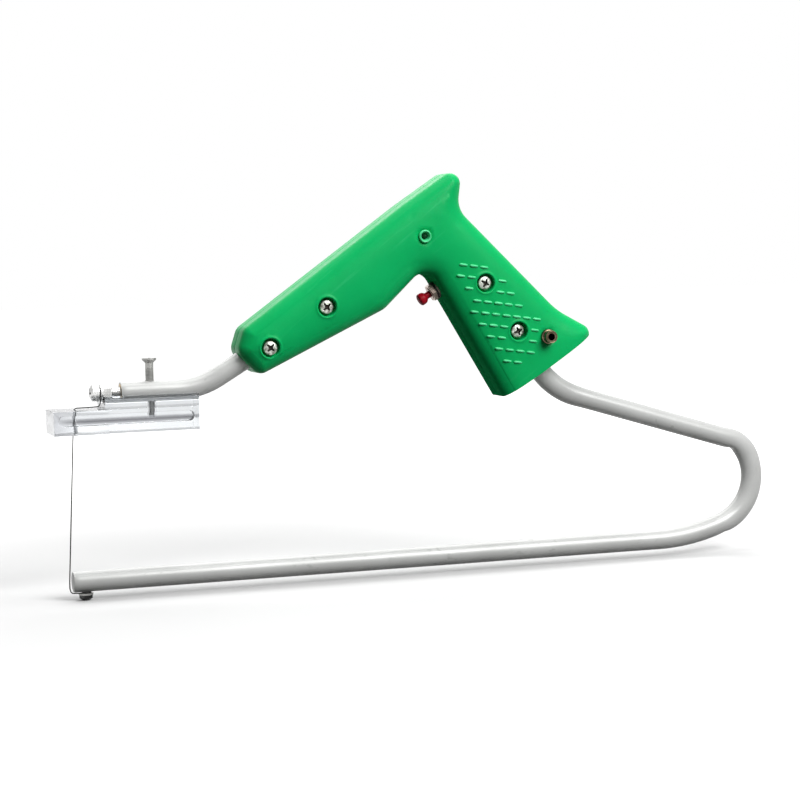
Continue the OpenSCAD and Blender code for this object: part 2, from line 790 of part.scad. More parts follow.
module button_cap() {
    r = cap_d / 2;
    waist = 0.78 * r;
    soft = 0.5;
    socket = 0.6 * cap_len;
    color("crimson") on_button_axis() difference() {
        turned([
            [0, cap_u - cap_len], [r - soft, cap_u - cap_len], [r, cap_u - cap_len + soft],
            [r, cap_u - 0.5 * cap_len], [waist, cap_u], [0, cap_u]
        ]);
        x_rod(stem_d + 2 * fit, cap_u - socket, cap_u + 1);
    }
}

module button_stem() {
    socket = 0.6 * cap_len;
    color("firebrick") on_button_axis() {
        x_rod(stem_d, cap_u - socket, flange_u + flange_t);
        x_rod(bush_d - 4 * run_fit, flange_u, flange_u + flange_t);
    }
}

module button_spring() {
    first_u = flange_u + flange_t + spring_room + spring_wire / 2;
    last_u = spring_end_u - spring_room - spring_wire / 2;
    coil_r = (bush_d - 4 * run_fit - spring_wire) / 2;
    steps = 12 * spring_turns;
    coil = [for (s = [0 : steps]) [
        first_u + (last_u - first_u) * s / steps,
        coil_r * cos(30 * s),
        coil_r * sin(30 * s)
    ]];
    color("gray") on_button_axis() swept(coil, spring_wire, [1, 0, 0], 6);
}

module switch_bush() {
    color("silver") on_button_axis() difference() {
        x_rod(bush_d, -bush_out, bush_in_u);
        x_rod(stem_d + 2 * run_fit, -bush_out - 1, bush_in_u + 1);
    }
}

module switch_nut() {
    color("rosybrown") on_button_axis() translate([nut_u, 0, 0]) hex_nut(nut_w, nut_t, bush_d + 2 * fit);
}

module axis_ring(d, bore, u, t) {
    on_button_axis() difference() {
        x_rod(d, u, u + t);
        x_rod(bore, u - 1, u + t + 1);
    }
}

module switch_dark_washer() {
    color("black") axis_ring(dark_washer_d, bush_d + 2 * fit, dark_u, dark_washer_t);
}

module switch_pale_ring() {
    color("tan") axis_ring(pale_ring_d, bush_d + 2 * fit, ring_u, pale_ring_t);
}

module switch_body() {
    color("black") on_button_axis() difference() {
        translate([rim_wall, -switch_w / 2, -switch_w / 2]) cube([switch_len, switch_w, switch_w]);
        x_rod(bush_d + 2 * fit, rim_wall - 1, spring_end_u);
    }
}

tag_w = 2;
tag_t = 0.6;
tag_y = 2.5;
tag_up = 2.5;

module switch_tags() {
    color("goldenrod") on_button_axis() for (y = [-tag_y, tag_y])
        translate([switch_end_u, y - tag_w / 2, tag_up]) cube([tag_len, tag_w, tag_t]);
}

// Power socket, along Y from the handle's near side

sleeve_rim_y = -half_t - socket_proud;
barrel_y = sleeve_rim_y + barrel_drop;
housing_end_y = -inner_y + housing_len;

module socket_barrel() {
    color("tan") in_frame() difference() {
        y_rod(socket_at, barrel_d, barrel_y, barrel_y + barrel_len);
        y_rod(socket_at, socket_bore, barrel_y - 1, barrel_y + barrel_len + 1);
    }
}

module socket_sleeve_nut() {
    soft = 0.5;
    r = sleeve_d / 2;
    bore_r = barrel_d / 2 + fit;
    color("tan") in_frame() translate([socket_at.x, 0, socket_at.y]) rotate([90, 0, 0]) rotate_extrude()
        polygon([
            [bore_r, half_t], [r, half_t], [r, -sleeve_rim_y - soft],
            [r - soft, -sleeve_rim_y], [bore_r + soft / 2, -sleeve_rim_y], [bore_r, -sleeve_rim_y - soft / 2]
        ]);
}

module socket_housing() {
    color("black") in_frame() difference() {
        y_rod(socket_at, housing_d, -inner_y, housing_end_y);
        y_rod(socket_at, barrel_d + 2 * fit, -inner_y - 1, barrel_y + barrel_len);
        y_rod(socket_at, socket_bore, -inner_y, barrel_y + barrel_len + 2);
    }
}

socket_tag_x = 1.6;

module socket_tags() {
    color("goldenrod") in_frame() for (s = [-1, 1])
        translate([socket_at.x + s * socket_tag_x - tag_t / 2, housing_end_y, socket_at.y - tag_w / 2])
            cube([tag_t, socket_tag_len, tag_w]);
}

// Indicator, along Y from the handle's near side

lamp_flange_d = lamp_d + 0.9;
lamp_flange_t = 1;
bezel_back_y = -inner_y + 1.4;

module indicator_bezel() {
    soft = 0.4;
    bore_r = lamp_d / 2 + fit;
    rim_y = half_t + bezel_proud;
    color("mediumseagreen") in_frame() translate([lamp_at.x, 0, lamp_at.y])
        rotate([90, 0, 0]) rotate_extrude()
        polygon([
            [bore_r, -bezel_back_y], [bezel_neck_d / 2, -bezel_back_y], [bezel_neck_d / 2, half_t],
            [bezel_d / 2, half_t], [bezel_d / 2, rim_y - soft], [bezel_d / 2 - soft, rim_y],
            [bore_r + soft, rim_y], [bore_r, rim_y - soft]
        ]);
}

module indicator_lamp() {
    tip = half_t + bezel_proud / 2;
    color("darkslategray") in_frame() {
        y_rod(lamp_at, lamp_d, -tip + lamp_d / 2, bezel_back_y + lamp_flange_t);
        translate([lamp_at.x, -tip + lamp_d / 2, lamp_at.y]) sphere(d = lamp_d);
        y_rod(lamp_at, lamp_flange_d, bezel_back_y, bezel_back_y + lamp_flange_t);
    }
}

leg_w = 0.5;
leg_x = 1.27;
leg_y = bezel_back_y + lamp_flange_t;

module indicator_legs() {
    color("silver") in_frame() for (s = [-1, 1])
        translate([lamp_at.x + s * leg_x - leg_w / 2, leg_y, lamp_at.y - leg_w / 2])
            cube([leg_w, leg_len, leg_w]);
}

resistor_d = 2;
resistor_len = 6;
resistor_y = leg_y + leg_len;

module indicator_resistor() {
    color("burlywood") in_frame()
        y_rod([lamp_at.x - leg_x, lamp_at.y], resistor_d, resistor_y, resistor_y + resistor_len);
}

// Solder plugs in the tubes' inner ends, each with a tail

solder_len = 5;
tail_d = 2;
tail_len = 4;

module solder_plug(p, deg, over) {
    in_frame() along(p, deg) {
        x_rod(tube_d - 2 * tube_wall - 2 * fit, over - solder_len, over);
        x_rod(tail_d, over, over + tail_len);
    }
}

module nose_solder_plug() {
    color("goldenrod") solder_plug(nose_pin, nose_deg, nose_over);
}

module bow_solder_plug() {
    color("goldenrod") solder_plug(neck_pin, 180 - neck_deg, neck_over);
}

// Leads inside the handle: each runs between the ends that carry it, through points set by hand

function tag_end(y, up) = to3(button_at + button_in * (switch_end_u + tag_len + lead_d / 2)
    - front_dir * (tag_up + up), y);
nose_tail = nose_pin + nose_dir * (nose_over + tail_len);
neck_tail = neck_pin + neck_dir * (neck_over + tail_len);
socket_tag_y = housing_end_y + socket_tag_len + lead_d / 2;

module lead_socket_to_switch() {
    color("red") in_frame() swept(smooth([
        [socket_at.x - socket_tag_x, socket_tag_y, socket_at.y],
        [56.5, 8, 123], [53, 9, 131], [45, 9, 142], [36, 7, 150.5], [29, 1, 153.5],
        tag_end(-tag_y, tag_t / 2)
    ]), lead_d, [0, 0, 1]);
}

module lead_switch_to_nose() {
    color("red") in_frame() swept(smooth([
        tag_end(tag_y, tag_t / 2),
        [22, 6, 157], [10, 7, 162], [-12, 7, 163], [-32, 6, 154], [-48, 4, 147.2], [-60, 1.5, 138.6],
        to3(nose_tail + nose_dir * (lead_d / 2 + 0.2))
    ]), lead_d, [0, 0, 1]);
}

module lead_socket_to_bow() {
    color("black") in_frame() swept(smooth([
        [socket_at.x + socket_tag_x, socket_tag_y, socket_at.y],
        [60.5, 5.5, 123], [55, 4, 129.5], [46, 2, 135.5], [38, 0.5, 137],
        to3(neck_tail + neck_dir * (lead_d / 2 + 0.2))
    ]), lead_d, [0, 0, 1]);
}

module indicator_leads() {
    clear = lead_d / 4 + hole_fit;
    near = resistor_y + clear;
    far = resistor_y + resistor_len + clear;
    color("orange") in_frame() {
        swept(smooth([
            [lamp_at.x - leg_x, far, lamp_at.y],
            [2, far + 2, 166], [12, 0, 167], [20, -4, 159], tag_end(-tag_y, 3 * lead_d)
        ]), lead_d / 2, [0, 0, 1]);
        swept(smooth([
            [lamp_at.x + leg_x, near, lamp_at.y],
            [6, 0, 170], [16, 2, 165], tag_end(tag_y, 3 * lead_d)
        ]), lead_d / 2, [0, 0, 1]);
    }
}

handle_shell_near();
handle_shell_far();
shell_screws();
bow_tube();
nose_tube();
guide_block();
guide_plate();
clamp_screw();
nose_end_plug();
terminal_screw();
terminal_washers();
terminal_nut();
hot_wire();
bow_end_plug();
wire_end_screw();
wire_end_washer();
button_cap();
button_stem();
button_spring();
switch_bush();
switch_nut();
switch_dark_washer();
switch_pale_ring();
switch_body();
switch_tags();
socket_barrel();
socket_sleeve_nut();
socket_housing();
socket_tags();
indicator_bezel();
indicator_lamp();
indicator_legs();
indicator_resistor();
nose_solder_plug();
bow_solder_plug();
lead_socket_to_switch();
lead_switch_to_nose();
lead_socket_to_bow();
indicator_leads();
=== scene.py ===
"""Looks of the hot-wire foam cutter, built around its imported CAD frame.

Lengths are in millimetres until a mesh is made, where they become metres.
The handle with its dashes, the tubes, shell screws, lamp ring, socket sleeve, button cap, return spring and
clear guide are worked out here as smooth surfaces in place of their CAD solids, and two more screws get threads.
The other CAD nodes stay as they are and get finishes.
"""
import json
import math

import bmesh
import bpy
import numpy as np
from mathutils import Matrix, Vector
from mathutils.geometry import delaunay_2d_cdt


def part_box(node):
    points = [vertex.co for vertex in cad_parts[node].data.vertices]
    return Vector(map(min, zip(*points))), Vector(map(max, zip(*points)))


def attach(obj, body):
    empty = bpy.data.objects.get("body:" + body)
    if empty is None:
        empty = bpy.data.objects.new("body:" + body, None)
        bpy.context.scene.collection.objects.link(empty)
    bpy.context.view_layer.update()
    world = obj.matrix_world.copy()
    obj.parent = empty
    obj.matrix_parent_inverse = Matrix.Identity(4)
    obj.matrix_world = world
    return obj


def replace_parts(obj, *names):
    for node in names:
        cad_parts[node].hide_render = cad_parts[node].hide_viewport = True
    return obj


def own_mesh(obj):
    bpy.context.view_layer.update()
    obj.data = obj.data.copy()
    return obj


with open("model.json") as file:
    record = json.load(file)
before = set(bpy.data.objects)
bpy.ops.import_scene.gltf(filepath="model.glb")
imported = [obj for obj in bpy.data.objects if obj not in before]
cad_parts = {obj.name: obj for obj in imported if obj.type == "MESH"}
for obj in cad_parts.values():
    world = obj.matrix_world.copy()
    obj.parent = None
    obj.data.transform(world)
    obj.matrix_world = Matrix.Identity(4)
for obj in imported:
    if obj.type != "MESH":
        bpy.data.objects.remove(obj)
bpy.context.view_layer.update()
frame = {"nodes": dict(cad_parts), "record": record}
MM = 0.001
# Points of a mesh nearer than this, in metres, are joined
WELD = 1e-6
# Sides of a round piece
ROUND_SIDES = 48


def box_mm(node):
    """Lowest and highest corner of a CAD node, in millimetres."""
    return [np.array(corner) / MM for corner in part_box(node)]


# Sizes from the frame
SHELL_LOW, SHELL_HIGH = box_mm("handle_shell_near")
MID_Y = SHELL_HIGH[1]
HALF_T = MID_Y - SHELL_LOW[1]
HEAD_OUT = MID_Y - box_mm("shell_screws")[0][1]

# Handle: corners of the outline in x and z with their radii, counter-clockwise from the nose's lower corner, then
# the steps of each corner's arc and the least radius that it can shrink to
HANDLE_CORNERS = np.array([
    [-88, 103.8, 5.2], [-23.5, 134, 12], [-1, 155.4, 7.6], [48, 70.6, 5.2], [76, 86.8, 5.2],
    [86, 120.4, 5.2], [67.5, 130.6, 40], [15.8, 182.4, 12], [19, 205.4, 5.2], [-13, 184.6, 60],
    [-95, 126.8, 6.5], [-98.6, 115.8, 6.5],
])
CORNER_STEPS = 12
LEAST_CORNER_R = 1.5
# The rounded edge: how far it reaches in from the outline and down from the side, and how far in its rim ends
EDGE_IN = 15.0
EDGE_DOWN = 8.0
RIM_IN = 5.0
RIM_STEPS = 12
# The side within the rim: bands of points along it, an even field inside them, and the crown with its reach
BANDS_IN = (5.7, 6.5, 7.4, 8.4, 9.6, 11.0, 12.6, 14.2, 15.8)
BAND_STEP = 1.7
FIELD_STEP = 2.0
EASE_PASSES = 12
SIDE_CROWN = 0.9
CROWN_REACH = 7.0
# The grip's base, cut off square: a point on it and its slope
BASE_CORNER = np.array([38, 88.2])
BASE_DEG = 32
# The wall, the bevel where the halves meet, and the angle past which an edge stays sharp
SHELL_SKIN = 2.0
SEAM = 0.25
SHELL_SHARP_DEG = 50

# Shell screws: their places on the near side in x and z, how far each is turned, and the sizes of one
SCREW_PLACES = np.array([[-83.4, 117.4], [-54.7, 136.1], [27.2, 145.3], [44.1, 120.9]])
SCREW_TURNS = (48, 40, 62, 20)
HEAD_R = 3.5
HEAD_H = 3.2
HEAD_SEAT = HEAD_OUT - 2.2
SHANK_R = 1.75
SHANK_LEN = 19.0
# A screw's recess: its wall as radius and share of the way down, and the soft lip round it
RECESS_R = 4.7
RECESS_DEPTH = 3.6
SCREW_HOLE_R = 1.9
RECESS_CUP = (
    (RECESS_R, 0.0), (RECESS_R - 0.12, 0.1), (RECESS_R - 0.15, 0.5), (RECESS_R - 0.2, 0.9),
    (RECESS_R - 0.5, 1.0), (SCREW_HOLE_R, 1.0),
)
LIP_H = 0.3
LIP_OUT = 0.55
LIP_WIDTH = 0.45
LIP_RINGS = (0.3, 0.55, 0.8, 1.2, 1.8)

# Power socket and indicator: places in x and z, holes, and profiles of radius and distance out of the side
SOCKET_AT = np.array([59.4, 117.6])
SOCKET_HOLE_R = 2.6
SLEEVE_PROFILE = np.array([
    [2.52, -0.1], [3.7, -0.1], [3.7, 1.9], [3.55, 2.1], [3.15, 2.2], [3.1, 2.45], [3.2, 2.6], [3.2, 5.4],
    [3.12, 5.75], [2.95, 5.93], [2.75, 5.93], [2.58, 5.8], [2.52, 5.6],
])
LAMP_AT = np.array([-4.1, 169.1])
LAMP_HOLE_R = 2.55
LAMP_RING_PROFILE = np.array([
    [1.52, -3.0], [2.5, -3.0], [2.5, 0.1], [3.2, 0.1], [3.2, 0.85], [3.08, 1.15], [2.8, 1.32], [2.5, 1.28],
    [2.25, 1.0], [1.9, 0.2], [1.6, -0.4], [1.52, -0.7],
])

# Button: a point on its axis, the axis, how far along it the grip's front lies, and the cap's profile as radius
# and distance from the tip
BUTTON_AT = np.array([6.4, MID_Y, 142.6])
BUTTON_AXIS = np.array([math.cos(math.radians(30)), 0, math.sin(math.radians(30))])
GRIP_FRONT = HANDLE_CORNERS[3, :2] @ BUTTON_AXIS[[0, 2]]
CAP_PROFILE = np.array([
    [0.0, -0.35], [1.2, -0.28], [2.1, -0.05], [2.75, 0.3], [3.05, 0.75], [3.1, 1.3], [3.05, 2.4], [2.9, 3.1],
    [2.5, 3.7], [2.05, 4.15], [1.75, 4.4], [1.3, 4.4], [1.3, 1.8], [0.0, 1.8],
])

# Return spring behind the button: a direction across its axis, the coil's and the wire's radius, and its turns
SPRING_SIDE = np.array([0, 1.0, 0])
SPRING_R = 2.55
SPRING_WIRE_R = 0.25
SPRING_TURNS = 4

# Grip dashes: a place on the lattice, its steps along a row and from row to row, and each row's first and last
DASH_AT = np.array([26.8, 130.45])
DASH_STEP = np.array([5.42, -0.79])
ROW_STEP = np.array([4.13, -6.26])
DASH_ROWS = {
    -4: (1, 3), -3: (0, 4), -2: (0, 4), -1: (0, 4), 0: (-1, 5), 1: (-1, 4), 2: (-1, 3), 3: (-1, 2), 4: (-1, 0),
}
# One dash: half its length, width and height, its grid, and how far it keeps from a recess and from the socket
DASH_HALF = np.array([2.2, 0.7, 0.7])
DASH_GRID = (9, 10)
DASH_FROM_RECESS = 2.4
DASH_FROM_SOCKET = 6.0

# Tubes: radius, wall, distance between stations along the path, and chamfer at the ends
TUBE_R = 5.0
TUBE_WALL = 1.0
TUBE_STEP = 1.2
END_CHAMFER = 0.3
# Where a tube is bent: the radius at which it swells fully, the most it swells, its share across, and the
# stations over which the swelling is evened out
SWELL_R = 26.0
SWELL_MOST = 1.3
SWELL_ACROSS = 0.6
SWELL_SPAN = 15
# Bow: its lower run, its stretch in the grip through a screw's place with the bend below it, its sloping run, and
# the radii and turns of its rear bends
BOW_Z = 9.0
BOW_END_X = box_mm("bow_tube")[0][0]
NECK_PIN = SCREW_PLACES[3]
NECK_DEG = 51.5
NECK_R = 40.0
NECK_OVER = 9.0
RISE_DEG = 17.0
REAR_X = 124.5
REAR_BENDS = [(110.0, 20.0), (26.0, 90.0), (17.5, 53.0)]
# Nose tube: its stretch in the nose through a screw's place, its bend, and its level stretch
NOSE_PIN = SCREW_PLACES[0]
NOSE_DEG = 30.0
NOSE_R = 40.0
NOSE_OVER = 12.0
ARM_END_X = box_mm("nose_tube")[0][0]
ARM_Z = 98.7
# Marks that bending left on the bow: place in x and z, side of the path, depth and length
BOW_DENTS = [((167.4, 54.1), 1.0, 1.6, 4.0), ((160.0, 17.5), -1.0, 0.5, 2.4)]

# The ridge of the two threads that show, and the eased edges of the clear pieces
THREAD_H = 0.22
CLEAR_EDGE = 0.4


# Curves in the x, z plane

def unit(v):
    """Vectors divided by their lengths."""
    return v / np.linalg.norm(v, axis=-1, keepdims=True)


def left_of(d):
    """The direction a quarter turn to the left."""
    return np.stack([-d[..., 1], d[..., 0]], axis=-1)


def full_turn(n):
    """n angles evenly round a circle."""
    return np.linspace(0, 2 * np.pi, n + 1)[:-1]


def heading(deg):
    """The unit vector at an angle from x towards z."""
    return np.array([math.cos(math.radians(deg)), math.sin(math.radians(deg))])


def handle_outline(inset):
    """The handle's outline moved in: each corner goes in along its neighbours' normals, and is then replaced by
    an arc of its radius."""
    p = HANDLE_CORNERS[:, :2]
    a = unit(p - np.roll(p, 1, 0))
    b = unit(np.roll(p, -1, 0) - p)
    dot = np.sum(a * b, axis=1)
    side = np.sign(a[:, 0] * b[:, 1] - a[:, 1] * b[:, 0])
    turn = np.arccos(dot)
    moved = p + inset * (left_of(a) + left_of(b)) / (1 + dot)[:, None]
    r = np.maximum(HANDLE_CORNERS[:, 2] - side * inset, LEAST_CORNER_R)
    start = moved - a * (r * np.tan(turn / 2))[:, None]
    centre = start + (side * r)[:, None] * left_of(a)
    first = np.arctan2(start[:, 1] - centre[:, 1], start[:, 0] - centre[:, 0])
    angle = first[:, None] + (side * turn)[:, None] * np.linspace(0, 1, CORNER_STEPS + 1)[None]
    arc = centre[:, None] + r[:, None, None] * np.stack([np.cos(angle), np.sin(angle)], axis=-1)
    return arc.reshape(-1, 2)


def arc_points(p, deg, r, sweep, step=3.0):
    """Points of an arc that leaves p at a heading and turns by sweep, left if it is positive."""
    n = max(2, int(abs(sweep) / step))
    turn = math.copysign(1, sweep)
    centre = p + turn * r * left_of(heading(deg))
    angle = np.radians(deg - 90 * turn + np.linspace(0, sweep, n + 1))
    return centre + r * np.stack([np.cos(angle), np.sin(angle)], axis=-1)


def line_points(p, q, step=8.0):
    """Points about a step apart from p to q."""
    n = max(1, int(np.linalg.norm(q - p) / step))
    return p + (q - p) * np.linspace(0, 1, n + 1)[:, None]


def meet(p, d, q, e):
    """Where the line from p along d crosses the line from q along e."""
    w = q - p
    return p + d * (w[0] * e[1] - w[1] * e[0]) / (d[0] * e[1] - d[1] * e[0])


def joined(*runs):
    """One path from runs that share their end points."""
    return np.concatenate([runs[0]] + [run[1:] for run in runs[1:]])


def bow_path():
    """Lower run, three rear bends, sloping run, bend below the grip, and the stretch inside the grip."""
    at = np.array([REAR_X, BOW_Z])
    runs = [line_points(np.array([BOW_END_X, BOW_Z]), at)]
    deg = 0.0
    for r, sweep in REAR_BENDS:
        runs.append(arc_points(at, deg, r, sweep))
        at, deg = runs[-1][-1], deg + sweep
    neck_dir = heading(180 - NECK_DEG)
    corner = meet(NECK_PIN, neck_dir, at, heading(deg))
    tangent = NECK_R * math.tan(math.radians((NECK_DEG - RISE_DEG) / 2))
    runs.append(line_points(at, corner - heading(deg) * tangent))
    runs.append(arc_points(runs[-1][-1], deg, NECK_R, RISE_DEG - NECK_DEG))
    runs.append(line_points(runs[-1][-1], NECK_PIN + neck_dir * NECK_OVER))
    return joined(*runs)


def nose_path():
    """Level stretch from the terminal, the bend in front of the nose, and the stretch inside the nose."""
    slope = heading(NOSE_DEG)
    corner = meet(NOSE_PIN, slope, np.array([ARM_END_X, ARM_Z]), heading(0))
    tangent = NOSE_R * math.tan(math.radians(NOSE_DEG / 2))
    level = line_points(np.array([ARM_END_X, ARM_Z]), corner - heading(0) * tangent)
    bend = arc_points(level[-1], 0, NOSE_R, NOSE_DEG)
    return joined(level, bend, line_points(bend[-1], NOSE_PIN + slope * NOSE_OVER))


# Meshes

def grid_faces(rows, cols, close_rows=False):
    """Quads over a grid of points, whose last column meets its first, and its last row too if asked."""
    i = np.arange(rows if close_rows else rows - 1)[:, None]
    j = np.arange(cols)[None]
    i2, j2 = (i + 1) % rows, (j + 1) % cols
    return np.stack([i * cols + j, i * cols + j2, i2 * cols + j2, i2 * cols + j], axis=-1).reshape(-1, 4)


def new_piece(name, points, faces, material, *, slot, body="frame", uv=None, sharp_deg=40):
    """A smooth-shaded piece from points in millimetres, in place in the row frame."""
    mesh = bpy.data.meshes.new(name)
    mesh.from_pydata((np.asarray(points) * MM).tolist(), [], [list(map(int, f)) for f in faces])
    mesh.validate()
    if uv is not None:
        layer = mesh.uv_layers.new(name="UVMap")
        corner = np.empty(len(mesh.loops), dtype=np.int32)
        mesh.loops.foreach_get("vertex_index", corner)
        layer.data.foreach_set("uv", np.asarray(uv, dtype=np.float32)[corner].ravel())
    bm = bmesh.new()
    bm.from_mesh(mesh)
    bmesh.ops.remove_doubles(bm, verts=bm.verts, dist=WELD)
    bm.to_mesh(mesh)
    bm.free()
    mesh.shade_smooth()
    mesh.set_sharp_from_angle(angle=math.radians(sharp_deg))
    mesh.materials.append(material)
    piece = bpy.data.objects.new(name, mesh)
    bpy.context.scene.collection.objects.link(piece)
    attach(piece, body)
    return piece


def tube_surface(path, swell, dents=()):
    """A tube carried along a plane path: an ellipse in the path's normal and Y, out along the outside and back
    along the inside. Where the path curves, the ellipse is wider in the plane and narrower across it. A dent
    takes a bell of its depth off the radius on one side of the path."""
    dent_fall, dent_round = 1.5, 3
    step = np.linalg.norm(np.diff(path, axis=0), axis=1)
    along = np.concatenate([[0], np.cumsum(step)])
    even = np.linspace(0, along[-1], int(along[-1] / TUBE_STEP))
    xz = np.stack([np.interp(even, along, path[:, k]) for k in (0, 1)], axis=-1)
    t = unit(np.gradient(xz, even, axis=0))
    bend = np.abs(np.gradient(np.unwrap(np.arctan2(t[:, 1], t[:, 0])), even))
    kernel = np.hanning(SWELL_SPAN)
    bend = np.convolve(np.pad(bend, SWELL_SPAN // 2, mode="edge"), kernel / kernel.sum(), mode="valid")
    flat = (np.clip(bend * SWELL_R, 0, SWELL_MOST) * swell)[:, None]
    from_end = np.minimum(even, even[-1] - even)
    chamfer = END_CHAMFER * np.interp(from_end, [0, TUBE_STEP], [1, 0])[:, None]
    angle = full_turn(ROUND_SIDES)
    n = left_of(t)
    pressed = np.zeros((len(even), len(angle)))
    for place, side, depth, length in dents:
        s = even[np.argmin(np.linalg.norm(xz - place, axis=1))]
        bell = np.exp(-np.abs((even - s) / length) ** dent_fall)[:, None]
        pressed += depth * bell * np.clip(side * np.cos(angle), 0, 1) ** dent_round

    def skin(radius):
        """The ellipses of one radius at every station."""
        p = xz[:, None] + ((radius * (1 + flat) - pressed) * np.cos(angle))[..., None] * n[:, None]
        y = MID_Y + (radius * (1 - SWELL_ACROSS * flat)) * np.sin(angle)
        return np.stack([p[..., 0], y, p[..., 1]], axis=-1)

    points = np.concatenate([skin(TUBE_R - chamfer), skin(TUBE_R - TUBE_WALL)[::-1]]).reshape(-1, 3)
    u = np.concatenate([even, even[::-1]])[:, None] + 0 * angle[None]
    v = angle[None] * TUBE_R + 0 * u
    faces = grid_faces(2 * len(even), len(angle), close_rows=True)
    return points, faces[:, ::-1], np.stack([u, v], axis=-1).reshape(-1, 2) * MM


def circle_xz(centre, r):
    """Points round a circle in the x, z plane."""
    angle = full_turn(ROUND_SIDES)
    return centre + r * np.stack([np.cos(angle), np.sin(angle)], axis=-1)


def distance_to(points, loop):
    """Distance from each point to a closed polyline."""
    a, d = loop, np.roll(loop, -1, 0) - loop
    t = np.clip(np.sum((points[:, None] - a) * d, -1) / np.maximum(np.sum(d * d, -1), 1e-9), 0, 1)
    return np.linalg.norm(points[:, None] - (a + t[..., None] * d), axis=-1).min(axis=1)


def even_points(loop, step):
    """Points about a step apart along a closed polyline."""
    ends = np.concatenate([loop, loop[:1]])
    along = np.concatenate([[0], np.cumsum(np.linalg.norm(np.diff(ends, axis=0), axis=1))])
    at = np.linspace(0, along[-1], int(along[-1] / step), endpoint=False)
    return np.stack([np.interp(at, along, ends[:, k]) for k in (0, 1)], axis=-1)


def inside(points, loop):
    """Even-odd test of points against a closed polyline."""
    a, b = loop, np.roll(loop, -1, 0)
    x, z = points[:, 0, None], points[:, 1, None]
    spans = (a[:, 1] > z) != (b[:, 1] > z)
    rise = np.where(b[:, 1] == a[:, 1], 1e-9, b[:, 1] - a[:, 1])
    cross = a[:, 0] + (z - a[:, 1]) * (b[:, 0] - a[:, 0]) / rise
    return (np.sum(spans & (x < cross), axis=1) % 2) == 1


OUTLINE = handle_outline(0.0)


def side_height(points):
    """How far the side stands out from the seam: a quarter ellipse up from the outline, then a low crown."""
    d = distance_to(points, OUTLINE)
    edge = np.sqrt(1 - (1 - np.clip(d / EDGE_IN, 0, 1)) ** 2)
    crown = 1 - np.exp(-np.maximum(d - EDGE_IN, 0) / CROWN_REACH)
    return HALF_T - EDGE_DOWN + EDGE_DOWN * edge + SIDE_CROWN * crown


def lip_height(points, lips):
    """A soft ring of a lip round each recess."""
    if not len(lips):
        return np.zeros(len(points))
    reach = np.linalg.norm(points[:, None] - lips, axis=-1).min(axis=1)
    return LIP_H * np.exp(-((reach - RECESS_R - LIP_OUT) / LIP_WIDTH) ** 2)


def side_plate(rim, rim_y, holes, lips):
    """The side as triangles between its rim, its holes, bands of points along the rim and an even field of
    points within them. Each height is then eased towards the mean of its neighbours, less so near the rim."""
    past_middle, rim_gap, ring_gap, hole_gap, rim_ease = 0.3, 0.5, 0.3, 2.4, 3.0
    in_hole, at_rim = 0.999, 0.2
    low, high = rim.min(0), rim.max(0)
    gx, gz = np.meshgrid(np.arange(low[0], high[0], FIELD_STEP), np.arange(low[1], high[1], FIELD_STEP))
    field = np.stack([gx.ravel(), gz.ravel()], axis=-1)
    field = field[inside(field, OUTLINE) & (distance_to(field, OUTLINE) > BANDS_IN[-1] + FIELD_STEP / 2)]
    bands = [(d, even_points(handle_outline(d), BAND_STEP)) for d in BANDS_IN]
    bands = [band[distance_to(band, OUTLINE) > d - past_middle] for d, band in bands]
    field = np.concatenate(bands + [field])
    keep = inside(field, rim) & (distance_to(field, rim) > rim_gap)
    for centre, r in holes:
        keep &= np.linalg.norm(field - centre, axis=1) > r + hole_gap
    rings = [circle_xz(c, RECESS_R + extra) for c in lips for extra in LIP_RINGS]
    rings = [ring[inside(ring, rim) & (distance_to(ring, rim) > ring_gap)] for ring in rings]
    loops = [rim] + [circle_xz(c, r) for c, r in holes]
    points = np.concatenate(loops + rings + [field[keep]])
    first = np.cumsum([0] + [len(loop) for loop in loops])
    edges = [(int(s + k), int(s + (k + 1) % len(loop)))
             for s, loop in zip(first, loops) for k in range(len(loop))]
    made = delaunay_2d_cdt([Vector(p) for p in points], edges, [], 0, 1e-6)
    flat = np.array([tuple(p) for p in made[0]])
    tris = np.array(made[2])
    middle = flat[tris].mean(axis=1)
    good = inside(middle, rim)
    for centre, r in holes:
        good &= np.linalg.norm(middle - centre, axis=1) > r * in_hole
    tris = tris[good]
    from_rim = distance_to(flat, rim)
    height = np.where(from_rim > at_rim, side_height(flat), rim_y)
    ease = 0.5 * np.clip(from_rim / rim_ease, 0, 1)
    ends = np.concatenate([tris[:, [0, 1]], tris[:, [1, 2]], tris[:, [2, 0]]])
    ends = np.concatenate([ends, ends[:, ::-1]])
    for _ in range(EASE_PASSES):
        total, count = np.zeros(len(flat)), np.zeros(len(flat))
        np.add.at(total, ends[:, 0], height[ends[:, 1]])
        np.add.at(count, ends[:, 0], 1)
        height = height + ease * (np.where(count > 0, total / np.maximum(count, 1), height) - height)
    return flat, tris, height + lip_height(flat, lips)


